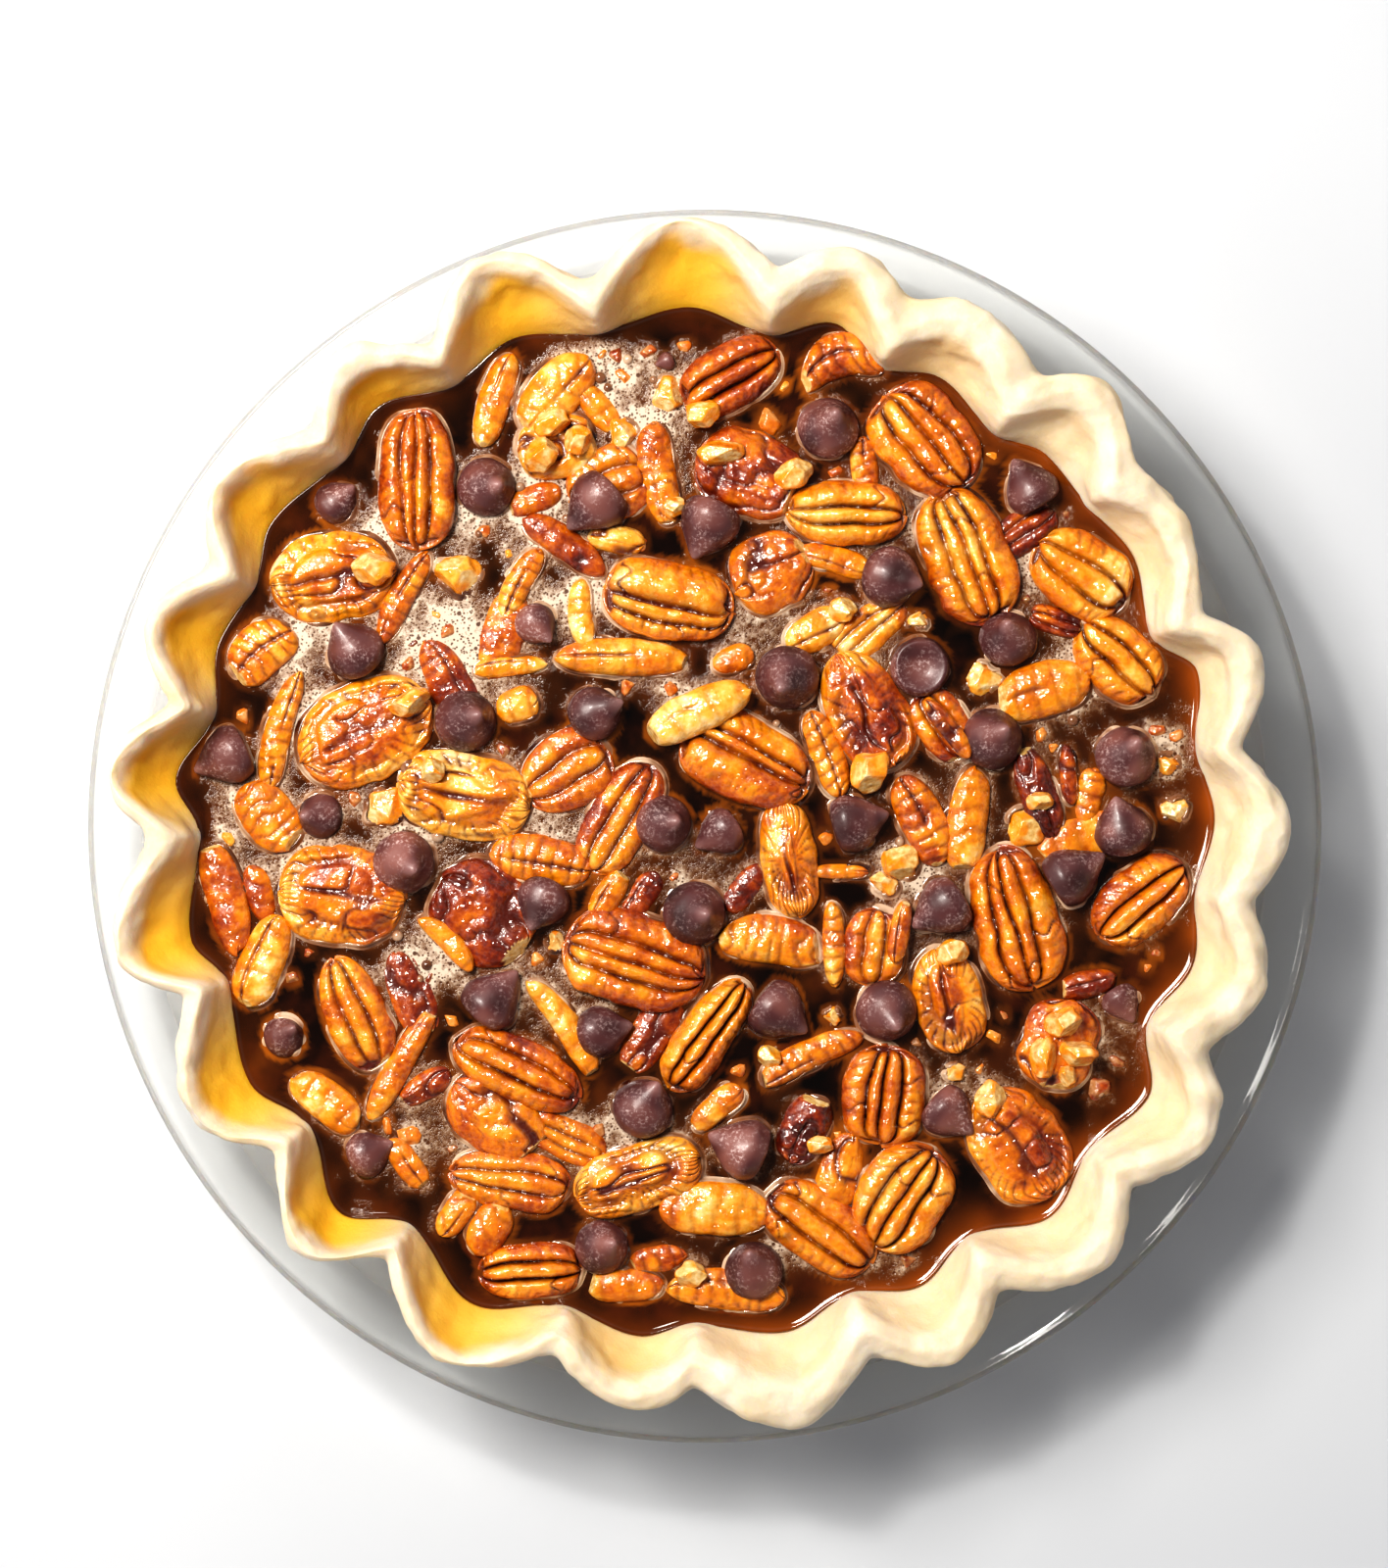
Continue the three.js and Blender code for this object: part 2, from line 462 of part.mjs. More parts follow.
/** Every topping whole, chips first, and then trimmed where an earlier one lies over it. */
function toppingMeshes() {
  const chips = CHIPS.map(chipMesh);
  const pecans = PECANS.map(pecanMesh);
  const meshes = [...chips, ...pecans];
  meshes.forEach(keepInside);
  const shapes = meshes.map((mesh, i) => {
    const over = meshes.slice(0, i).filter((other) => near(mesh, other));
    return trimmed(mesh, over);
  });
  const pockets = [
    ...chips.map((mesh, i) => chipPocket(CHIPS[i], mesh)),
    ...pecans.map((mesh, i) => pecanPocket(PECANS[i], mesh)),
  ];
  meshes.forEach((mesh, i) => {
    mesh.geometry = shapes[i];
  });
  return { meshes, pockets };
}

// ---- The filling ----
const LUMP_SIDES = 6;
const LUMP_DEPTH = 1.5; // how far a lump goes into the syrup
const LUMP_HEIGHT = [1.6, 0.1]; // over the syrup: a least height, and a share of its width
const LUMP_FOOT = 1.2; // its two rings, as shares of its length and width
const LUMP_TOP = 0.75;

/** A low lump of a broken pecan, six-sided and smaller at the top, with its foot in the syrup. */
function lumpGeometry(length, width) {
  const height = LUMP_HEIGHT[0] + LUMP_HEIGHT[1] * width;
  const ring = (scale, z) => Array.from({ length: LUMP_SIDES }, (_, i) => {
    const angle = (i + 0.5) / LUMP_SIDES * 2 * Math.PI;
    return [Math.cos(angle) * scale * length / 2, Math.sin(angle) * scale * width / 2, z];
  });
  const rings = [ring(LUMP_FOOT, -LUMP_DEPTH), ring(LUMP_TOP, height)];
  return ringSolid([0, 0, -LUMP_DEPTH], rings, [0, 0, height]);
}

function lumpMesh([x, y, length, width, heading]) {
  const mesh = new THREE.Mesh(lumpGeometry(length, width));
  mesh.position.set(x, y, SYRUP_LEVEL);
  mesh.rotation.z = radians(heading);
  return mesh;
}

function sunkChipMesh([x, y, diameter, lift]) {
  const mesh = new THREE.Mesh(chipGeometry(diameter, SUNK_CHIP_HEIGHT * diameter, SUNK_CHIP_SIDES));
  mesh.position.set(x, y, SYRUP_LEVEL + CHIP_FLOAT + lift);
  return mesh;
}

/** The syrup with its broken pieces and sunk chips, cut round every topping that is a piece of its own. */
function fillingGeometry(pockets) {
  const bits = [...BROKEN_PECANS.map(lumpMesh), ...SUNK_CHIPS.map(sunkChipMesh)];
  bits.forEach(keepInside);
  let solid = solidOf(syrupGeometry());
  for (const bit of bits) {
    solid = solid.add(solidOf(bit.geometry, bit.matrixWorld).intersect(room));
  }
  for (const pocket of pockets) {
    solid = solid.subtract(pocket);
  }
  return geometryOf(solid);
}

// ---- The pie ----
const pie = new THREE.Group();
const toppings = new THREE.Group();
const { meshes, pockets } = toppingMeshes();
toppings.add(...meshes);
pie.add(named('dish', turned(DISH_SECTION, DISH_STEPS), glass));
pie.add(named('crust', crustGeometry(), pastry));
pie.add(named('filling', fillingGeometry(pockets), syrup));
pie.add(toppings);

export default pie;
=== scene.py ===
"""A pecan pie with chocolate chips, filled and ready for the oven, in its clear glass pie dish.

Every shape is worked out in millimetres as arrays of points, and is scaled to metres as it is made a mesh.
"""
import math
from itertools import product

import bpy
import numpy as np
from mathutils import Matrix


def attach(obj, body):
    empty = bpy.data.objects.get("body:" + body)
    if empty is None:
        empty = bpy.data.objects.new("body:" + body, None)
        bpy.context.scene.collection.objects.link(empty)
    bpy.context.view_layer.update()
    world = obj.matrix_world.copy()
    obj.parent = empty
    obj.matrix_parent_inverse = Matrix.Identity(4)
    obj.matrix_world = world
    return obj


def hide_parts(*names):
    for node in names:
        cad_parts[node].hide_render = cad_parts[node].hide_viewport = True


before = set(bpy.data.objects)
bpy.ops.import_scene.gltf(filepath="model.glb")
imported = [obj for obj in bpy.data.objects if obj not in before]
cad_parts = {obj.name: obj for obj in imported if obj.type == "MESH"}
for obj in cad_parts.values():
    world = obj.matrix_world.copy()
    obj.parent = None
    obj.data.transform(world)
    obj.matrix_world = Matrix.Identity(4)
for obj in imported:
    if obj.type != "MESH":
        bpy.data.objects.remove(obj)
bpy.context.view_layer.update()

MM = 0.001
SYRUP_LEVEL = 31.0

# ---- The pie's sizes, in millimetres ----
# The glass dish's section as (radius, height), from the axis out underneath and back along the inside.
DISH_SECTION = np.array([
    (0, 0), (83, 0), (87.5, 1.2), (94.3, 5.7), (110.3, 28.2), (112.5, 29.9), (118.6, 30.1), (120, 32),
    (119.7, 33.5), (118.9, 34.1), (118.1, 33.5), (117.3, 33), (112, 33), (108.9, 32.4), (107, 30.5), (91, 8),
    (84, 4.5), (0, 4.5)])
# crest of a flute: (angle, outer radius, hollow's reach, radius at the syrup)
CRESTS = np.array([
    (1, 112.2, 105.5, 98.7), (17.5, 112.2, 106, 100), (33, 110.3, 104.5, 98.1), (47.5, 115.6, 107, 97.7),
    (62.5, 112.7, 105.6, 98.1), (75.5, 114.6, 108.4, 100.6), (92, 118, 114.6, 100.6),
    (111.5, 117.9, 114, 101.5), (128, 115.2, 109.7, 103), (145, 115.6, 112.2, 102.5),
    (159.5, 114.6, 111.2, 100.6), (175, 115.6, 112.6, 102.9), (192.5, 116.5, 113.1, 101.9),
    (209.5, 113.7, 110.8, 101.2), (226.5, 113.1, 110, 103), (244, 115, 111.8, 102.9),
    (262.5, 113.7, 107.5, 99.6), (279, 116.5, 109, 99.1), (295, 114.1, 107, 98.3), (312, 115, 108.5, 101),
    (328.5, 115.6, 109, 100.6), (344.5, 112.4, 105.5, 98.3)])
# valley between two crests: (angle, outer radius, radius at the syrup)
VALLEYS = np.array([
    (8.5, 104.2, 96.8), (23, 104, 94.3), (40, 108.5, 96.8), (53.5, 108.6, 94.8), (69, 109, 95.2),
    (82.5, 108.4, 96.4), (102, 107.1, 98.1), (119.5, 107.1, 98.7), (134.5, 107.1, 100), (152, 107.1, 99.2),
    (167, 106.1, 97.7), (181, 107.1, 98.1), (198, 105.2, 97.7), (217, 104.2, 96.4), (233.5, 103.3, 96.4),
    (254, 104.8, 97.3), (269, 108, 96.8), (287.5, 106.7, 95.2), (302.5, 105.6, 94.8), (320, 107.1, 97.7),
    (336, 105.7, 94.3), (352, 106.1, 96.4)])
RIDGE, RIDGE_SWING = 44.9, 0.7          # the height of the flutes, and how much it varies
CRUST_UNDERSIDE = 4.95
OUTSIDE_SHARPNESS, SCOOP_SHARPNESS, INSIDE_SHARPNESS = 1.15, 1.25, 2.4

# Pecan halves: (x, y, length, width, heading, roll, lift, side up, redness, grooves or None)
# The grooves are places across a back, from -1 to 1, where one lobe ends and the next starts.
PECANS = [
    (-56, 67.6, 28, 15, 91, -10, 0.6, "back", 0.56, (-0.42, -0.02, 0.34)),
    (-72.5, 48.5, 25, 17.5, 7, 0, -0.4, "face", 0.5, None),
    (5, 87.6, 21.5, 13, 30, 8, 0.2, "back", 0.55, (-0.3, 0.28)),
    (43, 75.1, 24, 17.5, -48, 0, 0.4, "back", 0.5, (-0.45, 0.05, 0.5)),
    (27.5, 61, 23.5, 12.5, -2, 0, 0.8, "back", 0.42, (-0.38, 0.12)),
    (51, 52.5, 28, 17, -68, 6, 0.3, "back", 0.5, (-0.4, 0.02, 0.42)),
    (73.2, 49.1, 21, 15.5, -35, 0, 0, "back", 0.42, (-0.35, 0.3)),
    (80.5, 32.5, 20, 14, -45, 0, -0.2, "back", 0.45, (-0.3, 0.35)),
    (-7, 44, 26, 15.5, -11, -6, 0.8, "back", 0.4, (-0.62, -0.22)),
    (-66, 18.5, 28, 19.5, 27, 0, 0, "face", 0.5, None),
    (-47, 6, 26.5, 17, -12, 0, 0, "face", 0.42, None),
    (8, 13, 27, 16.5, -25, -8, 0.5, "back", 0.48, (0.0, 0.32)),
    (31.5, 22.5, 25, 15.5, -62, 0, 0.2, "face", 0.62, None),
    (16.5, -6.5, 23, 11, -82, 0, 0.3, "face", 0.5, None),
    (60.5, -18, 28.5, 16.5, -75, 0, 0.5, "back", 0.46, (-0.5, -0.1, 0.35)),
    (85, -14.5, 22, 14, 40, 12, 0, "back", 0.5, (-0.3, 0.28)),
    (-13.5, -26, 28.5, 18.5, -15, -8, 0.4, "back", 0.55, (-0.48, -0.12, 0.28)),
    (-70.5, -13.5, 25, 19, -5, 0, 0, "face", 0.56, None),
    (-36.5, -47.5, 27, 12.5, -25, 0, 0.3, "back", 0.58, (-0.3, 0.4)),
    (0.5, -40.5, 25.5, 10.5, 55, 10, 0.3, "back", 0.4, (-0.25, 0.35)),
    (47.5, -34, 21, 13.5, -75, 0, 0, "face", 0.56, None),
    (35, -52.5, 20, 16.5, 85, 0, 0.3, "back", 0.5, (-0.42, 0.06, 0.4)),
    (61, -61.9, 23.5, 17.5, -55, 0, 0, "face", 0.6, None),
    (38.5, -72.5, 23, 17.5, 57, 0, 0.5, "back", 0.42, (-0.4, 0.0, 0.45)),
    (22.5, -78.5, 24.5, 14, -35, 0, 0, "back", 0.46, (-0.4, 0.3)),
    (-13, -68.5, 26, 13, 18, 0, 0.3, "face", 0.45, None),
    (-33.8, -86.6, 21, 11, 3, 0, -0.2, "back", 0.5, (-0.3, 0.3)),
]
# Chocolate chips: (x, y, diameter, heading of the tip, reach of the tip, lift, curl of the tip, roughness)
CHIPS = [
    (24, 77.5, 12.5, 60, 0, 0.6, 0.3, 0.5), (63.8, 65.2, 11, 122, 7.6, 0, 0.1, 0.5),
    (-42.5, 66, 12, 0, 1.9, 0, 0.3, 0.6), (-20.5, 63.5, 12.5, -137, 8.8, 0.8, 0.1, 0.4),
    (1, 59.5, 12.5, -113, 8.6, 1, 0.1, 0.4), (36, 48.5, 12.5, -17, 6.4, 0.6, 0.1, 0.4),
    (42, 31, 12, 0, -1, 0, 0, 0.6), (59, 36.5, 11.5, 100, 0, 0, 0.3, 0.5),
    (16, 29, 13, -120, 0, 0.6, 0.3, 0.3), (-68, 34, 12, 125, 6.3, 0.4, 0.3, 0.5),
    (-46.5, 20.5, 12.5, 20, 0, 0, 0.4, 0.4), (-21.5, 22, 11, 21, 4.3, 0.4, 1.1, 0.5),
    (-92.3, 13.9, 12, -155, 8, 0, 0.1, 0.3), (-58.5, -7, 12.5, -30, 0, 0.6, 0.3, 0.9),
    (-8, 0.5, 11.5, 10, 0, 0, 0.3, 0.8), (28.5, 0.5, 12, 15, 7.9, 0, 0.1, 0.4),
    (56, 17, 12.5, 40, 0, 0.2, 0.3, 0.5), (82, 13.5, 12.5, 60, 3, 0, 0.3, 1),
    (81.5, -1, 12, 106, 7.1, 0.2, 0.2, 0.7), (70.5, -10, 12, 32, 8.9, 0.6, 0.2, 0.4),
    (47, -15.5, 12, -149, 8.2, 0.4, 0.1, 0.6), (-31.5, -14.5, 11, -113, 6.2, 0.2, 0.1, 0.3),
    (-2, -17, 13, 0, 0, 0.6, 0.1, 0.1), (-42, -34.5, 12, 49, 8.8, 0, 0.1, 0.4),
    (13.5, -35.5, 12, -36, 8.2, 0.4, 0.2, 0.4), (35.5, -36, 12.5, -60, 0, 0.2, 0.5, 0.5),
    (-12, -55, 12.5, 61, 5.9, 0, 0.3, 0.3), (8, -63, 12.5, 157, 8.3, 0, 0.2, 1),
    (-20, -82, 11, 30, 0, 0, 0.3, 0.6), (9.5, -86.5, 12, 103, 4.1, 0, 0.2, 0.5)]
# Chips that lie in the filling, hardly over the syrup, in the same order
SUNK_CHIPS = [
    (-33, 39.5, 8.5, -50, 4, 0, 0.9, 1), (3.5, -1, 9.5, -150, 6, 0, 1, 0.8),
    (-20.5, -40, 10.5, 12, 6, 0, 1, 0.5), (47, -55.5, 11, -40, 7, -1, 0.1, 1),
    (-75, 2, 9.5, 180, 3, -1.2, 0.2, 0.4), (-82, -41, 8.5, 40, 3, -1.2, 0.2, 0.4),
    (-72, 63, 9, 40, 5, -1.2, 0.2, 0.6), (81, -34, 8, -60, 5, -1.2, 0.2, 1),
    (-66, -64, 9.5, 25, 6, -1.2, 0.2, 0.8), (-7.4, 90.6, 3.8, 200, 1.5, -0.3, 0.2, 0.6)]
# Broken halves: (x, y, length, width, heading, height over the syrup, side up, redness, bend)
BROKEN_HALVES = [
    (-29, 84, 19.5, 10.5, 48, 3, "lobe", 0.42, 0.1), (-40.5, 83, 19, 6.5, 72, 2.4, "lobe", 0.5, 0.15),
    (27, 88, 16.5, 9, 14, 2.8, "rib", 0.6, 0.9), (9, 68.5, 22, 17, -20, 3.4, "crumple", 0.74, 0),
    (13, 49.5, 16.5, 15.5, 30, 3.2, "crumple", 0.66, 0), (-27, 10.5, 19, 15.5, 30, 3, "back", 0.52, 0),
    (-16.5, 1.5, 25, 12.5, 60, 2.8, "back", 0.58, 0), (46.5, 19.5, 15.5, 10.5, -55, 2.6, "back", 0.6, 0),
    (66, 26, 19, 11, 15, 2.8, "lobe", 0.5, 0.1), (-32, -7, 20, 9.5, -10, 2.4, "rib", 0.6, 0.1),
    (-43, -17, 21.5, 19, -40, 3.6, "crumple", 0.84, 0), (-94, -14, 23, 8, -75, 2.4, "lobe", 0.66, 0.2),
    (-86, -26, 19, 9, 68, 2.6, "lobe", 0.42, 0), (-68, -36.5, 24, 12, -68, 3.2, "back", 0.5, 0),
    (42, 1, 19, 9, -65, 2.6, "rib", 0.68, 0.1), (51.5, 1, 21, 8, 82, 2.6, "lobe", 0.45, 0.1),
    (13, -23.5, 20.5, 10, -8, 2.6, "rib", 0.5, 0.3), (33, -23.5, 15.5, 12, 85, 2.6, "back", 0.55, 0),
    (69, -42.5, 18, 15, 70, 3, "crumple", 0.62, 0), (-40.5, -57, 22, 14.5, -40, 2.8, "crumple", 0.55, 0),
    (-38, -69, 24, 11.5, -8, 2.6, "back", 0.55, 0), (2, -75, 22, 11, -3, 2.6, "lobe", 0.45, 0.1),
    (19.5, -59, 14.5, 9.5, 65, 2.6, "crumple", 0.86, 0), (-74, -54, 16, 8, -38, 2.2, "lobe", 0.35, 0.1),
    (-42, -78.5, 11.5, 8, 60, 2.2, "lobe", 0.5, 0), (-48.5, -75.5, 10.5, 6, 55, 2, "lobe", 0.45, 0),
    (-15.5, -89.5, 15, 6.5, 0, 2, "lobe", 0.5, 0), (4, -91, 23, 8, -5, 2.4, "rib", 0.45, 0.2),
    (-85, 2, 15.5, 10.5, -50, 2.4, "rib", 0.45, 0), (-86, 33.5, 14.5, 10.5, 40, 2.4, "rib", 0.6, 0.2),
    (-28.5, 74, 16.5, 12.5, 10, 2.8, "crumple", 0.38, 0), (-19, 66.5, 16.5, 14.5, 20, 2.4, "back", 0.5, 0),
    (65, 6.5, 19, 7.5, -70, 2.4, "crumple", 0.9, 0)]
# Strips of broken pecan: (x, y, length, width, heading, height over the syrup, bend, side up, redness)
STRIPS = [
    (-16, 32.5, 26, 7.5, -2, 2.8, 0.12, "lobe", 0.45), (25, 51.5, 15.5, 5.5, -15, 1.8, 0.2, "lobe", 0.5),
    (-38, 31, 14.5, 4, 5, 1.4, 0.1, "lobe", 0.4), (-8.5, 68.5, 21, 7.5, 100, 2.2, 0.15, "rib", 0.5),
    (-27.5, 54.5, 19, 6.5, -35, 2.2, 0.2, "lobe", 0.74), (23.5, 14, 18, 6.5, -70, 2, 0.1, "rib", 0.55),
    (-59, -46.5, 25, 5.5, 60, 2, 0.15, "lobe", 0.55), (-28, -39.5, 23, 5.5, -55, 2, 0.5, "lobe", 0.48),
    (25, -23, 17, 4.5, -88, 2, 0.1, "rib", 0.45), (21, -45.5, 22, 6, 25, 2, 0.4, "rib", 0.55),
    (-82, 18.5, 24, 5.5, 75, 2, 0.4, "rib", 0.5), (-58.5, 44.5, 20, 5.5, 62, 2, 0.25, "rib", 0.6),
    (-35.5, 47, 16, 5.5, 62, 1.8, 0.3, "rib", 0.45), (2.5, -55, 12.5, 5.5, 40, 1.6, 0.1, "lobe", 0.5),
    (-1, 22, 22, 8.5, 25, 2.8, 0.1, "lobe", 0.36), (21.5, 38, 12.5, 7.5, 30, 2, 0, "lobe", 0.35),
    (-50.5, -23, 14.5, 4.5, -45, 1.6, 0.5, "lobe", 0.45), (71, 10, 12, 3.5, 95, 1.6, 0.1, "crumple", 0.8),
    (26.5, -9, 11.5, 3, 0, 1.2, 0.1, "lobe", 0.5), (5.5, 32.5, 8.5, 5.5, 20, 1.6, 0, "lobe", 0.5),
    (47, 19, 14, 4, -52, 1.6, 0.1, "crumple", 0.6), (38, -20.5, 12, 4, 80, 1.6, 0.1, "lobe", 0.55),
    (-23.5, 41.5, 14, 5, 95, 1.6, 0.3, "lobe", 0.35), (-36.5, 23.5, 8.5, 7, 20, 1.8, 0, "lobe", 0.42)]
# Chopped chunks with pale cut faces: (x, y, length, width, heading, height over the syrup)
CHUNKS = [
    (-48.5, 49, 9.5, 8.5, 0, 2.6), (-29.5, 78.5, 7, 6, 20, 2.6), (-31.5, 72, 8, 6, 60, 2.8),
    (-24.5, 75, 6, 6, 0, 2.4), (-64.5, 50, 8.5, 7, 10, 3.2), (-57.5, 24, 8, 5, 25, 3.2),
    (32, 11, 7, 10, -10, 3.2), (-7.5, 84, 7, 7, 0, 2.4), (-0.5, 80, 7, 6, 20, 2.2), (3, 72.5, 9, 5, 0, 2.6),
    (17.5, 68.5, 8, 6, 20, 2.4), (-16, 76, 6, 8, 0, 2.2), (62.5, 0, 9, 7.5, 0, 2.4),
    (38, -7, 7, 8, 20, 2.6), (35, -11, 6, 5, -20, 2), (-62.5, 3.5, 9, 7, 20, 2), (-53, 11, 5, 5, 0, 2),
    (12.5, -45, 5, 4.5, 0, 1.8), (22.5, -62, 5, 4, 0, 1.6), (55.5, -53, 6, 7, 0, 1.8),
    (49, -48, 5, 4, 0, 1.4), (70.5, -48.5, 4, 4.5, 0, 2), (54.5, 29, 7, 7, 20, 1.6),
    (69.5, -38, 7, 6, 30, 3), (72.5, -44, 7, 6, -20, 3.2), (65.5, -44.5, 6, 8, 0, 2.8),
    (90, 12, 5, 4, 0, 1.4), (91.5, 3, 6, 5, 0, 1.6), (41.5, 40, 4, 4, 0, 1.4), (-29, -22.5, 4, 4, 0, 1.2),
    (-2.5, -87, 6.5, 5, 20, 2.4), (25, -37, 4, 3.5, 0, 1.2), (65, 5, 5, 4, 0, 1.6),
    (48, -24.5, 7, 5, 10, 2.2), (26.5, 42, 6, 5, 20, 2), (-6, 62, 5, 4, 30, 1.4)]
# Nuts wholly under the syrup, seen through it: (x, y, length, width, heading, depth of their tops)
UNDER = [
    (-48, 50, 17, 19, 0, 0.8), (-45, 30, 22, 12, 30, 1.2), (60, 45, 22, 14, 60, 1.4),
    (44, -60, 22, 14, 20, 1.5), (76, -26, 20, 12, 50, 1.6), (-60, -30, 22, 14, 10, 1.3),
    (-20, -52, 20, 12, 70, 1.3), (30, -90, 18, 10, 10, 1.2), (-86, -44, 18, 11, 60, 1.3),
    (-90, 48, 16, 9, 70, 1.2), (-8, 12, 20, 14, 40, 1), (40, 8, 18, 12, -20, 1.4),
    (20, -30, 22, 10, 50, 1.4), (-52, -66, 16, 9, 10, 1.2), (88, 26, 14, 9, 70, 1),
    (10, 40, 18, 12, 80, 1.2), (-46, 82, 14, 9, 30, 1.1), (52, 84, 16, 9, -40, 1.1),
    (-4, -9, 14, 8, 0, 1.2), (64, 60, 16, 10, -50, 1.2), (-5, -62, 16, 9, 40, 1.2),
    (53, -8, 14, 8, 80, 1.3), (-55, 32, 14, 8, 10, 1), (84, -2, 14, 8, 90, 1.4)]
# Patches of froth on the syrup: (x, y, reach across, reach along, how thick)
FROTH = [
    (-50, 37, 15, 12, 1), (-19, 88, 15, 9, 1), (-61, 57, 10, 7, 0.9), (-45, 62, 12, 9, 0.8),
    (-32, 60, 12, 14, 0.9), (-76, 37, 8, 9, 0.9), (-54, -27, 12, 10, 0.9), (-12, 82, 12, 14, 0.8),
    (63, 52, 8, 9, 0.8), (72, 30, 10, 14, 0.8), (90, 14, 8, 10, 0.9), (-25, 45, 12, 8, 0.9),
    (-4, 27, 16, 7, 0.7), (38, -8, 9, 7, 0.9), (-82, -2, 9, 12, 0.8), (-92, 0, 6, 10, 0.7),
    (-60, -3, 18, 8, 0.8), (-35, 3, 18, 10, 0.7), (0, -10, 22, 9, 0.7), (-30, -30, 22, 12, 0.6),
    (15, 35, 26, 14, 0.6), (-55, -62, 16, 14, 0.6), (-15, -62, 26, 12, 0.55), (44, -22, 26, 12, 0.55),
    (52, -50, 14, 9, 0.6), (88, -10, 9, 16, 0.5), (75, -44, 10, 12, 0.6), (20, -84, 30, 8, 0.4),
    (35, 66, 20, 16, 0.5), (50, 10, 20, 16, 0.5), (-80, 25, 8, 12, 0.8)]
# Single bubbles: (x, y, diameter)
BUBBLES = [
    (-66.6, 23.8, 3.8), (-57.6, 11.6, 3.8), (86.8, 26, 2.7), (71.7, 20.6, 2.3), (-59.9, -21.4, 2.3),
    (-60.9, 60.7, 2.2), (-20.4, 87.4, 2.4), (-18.9, 85.5, 1.8), (-32.6, -44.8, 2.4), (-54.2, -27.1, 2.2),
    (-55.5, -29.8, 1.6), (38, -3, 2), (-46, 9, 2.4), (-36, 12, 1.8), (-52, -2, 2.6), (-39, -9.5, 2.2),
    (-71, 33.5, 1.8), (-49, 60, 2), (-44, 57, 1.6), (-36, 66, 2.2), (-27, 60, 1.8), (-15, 91, 2),
    (-10, 87, 1.7), (14, 20, 1.6), (56, -23, 2), (85, -8, 2.4), (77, -52, 2), (-5, -50, 1.8), (-29, -17, 2),
    (44, 60, 1.6)]


# ---- Numbers as whole arrays ----
def hashed(cell, seed):
    """Repeatable numbers from 0 to 1 at lattice points: their coordinates times large odd numbers, mixed."""
    x, y, z = (np.asarray(part).astype(np.int64).astype(np.uint64) for part in cell)
    mixed = x * np.uint64(0x9E3779B97F4A7C15) ^ y * np.uint64(0xC2B2AE3D27D4EB4F)
    mixed ^= z * np.uint64(0x165667B19E3779F9) ^ np.uint64(seed * 7919 + 13)
    mixed = (mixed ^ (mixed >> np.uint64(31))) * np.uint64(0xD6E8FEB86659FD93)
    return ((mixed >> np.uint64(40)) & np.uint64(0xFFFF)).astype(float) / 0xFFFF


def noise(points, size, seed=0):
    """Smooth noise from -1 to 1 with humps of about that size: lattice numbers blended by a quintic fade."""
    place = np.asarray(points, float) / size + 71.3
    cell = np.floor(place)
    fade = place - cell
    fade = fade ** 3 * (fade * (fade * 6 - 15) + 10)
    total = 0
    for corner in product((0, 1), repeat=3):
        weight = np.prod([np.where(c, fade[..., i], 1 - fade[..., i]) for i, c in enumerate(corner)], axis=0)
        total = total + weight * hashed([cell[..., i] + c for i, c in enumerate(corner)], seed)
    return total * 2 - 1


def bell(offset, breadth):
    """1 at no offset, falling as a bell curve of that breadth."""
    return np.exp(-(offset / breadth) ** 2)


def step(low, high, value):
    """0 below low, 1 above high, and an S curve between them."""
    share = np.clip((value - low) / (high - low), 0, 1)
    return share * share * (3 - 2 * share)


def smooth_line(keys, count, passes):
    """Points along straight lines between keys, rounded by averaging each with its neighbours."""
    keys = np.asarray(keys, float)
    lengths = np.concatenate([[0], np.cumsum(np.linalg.norm(np.diff(keys, axis=0), axis=1))])
    places = np.linspace(0, lengths[-1], count)
    line = np.stack([np.interp(places, lengths, keys[:, i]) for i in range(keys.shape[1])], axis=1)
    for _ in range(passes):
        line[1:-1] = (line[:-2] + 2 * line[1:-1] + line[2:]) / 4
    return line


# ---- Meshes ----
class Part:
    """Points in millimetres, faces of four and of three corners, and numbers carried by the points."""

    def __init__(self, points, quads, tris, **marks):
        """Keeps the arrays as they are given."""
        self.points, self.quads, self.tris, self.marks = points, quads, tris, marks

    def outward(self):
        """Turns every face round if the volume under the faces comes out negative."""
        a, b, c, d = (self.points[self.quads[:, i]] for i in range(4))
        e, f, g = (self.points[self.tris[:, i]] for i in range(3))
        volume = sum(np.sum(p * np.cross(q, r)) for p, q, r in ((a, b, c), (a, c, d), (e, f, g)))
        if volume < 0:
            self.quads, self.tris = self.quads[:, ::-1], self.tris[:, ::-1]
        return self


def spun(radius, turn, height):
    """Points at these radii and turns about the upright axis, at these heights."""
    return np.stack(np.broadcast_arrays(radius * np.cos(turn), radius * np.sin(turn), height), -1)


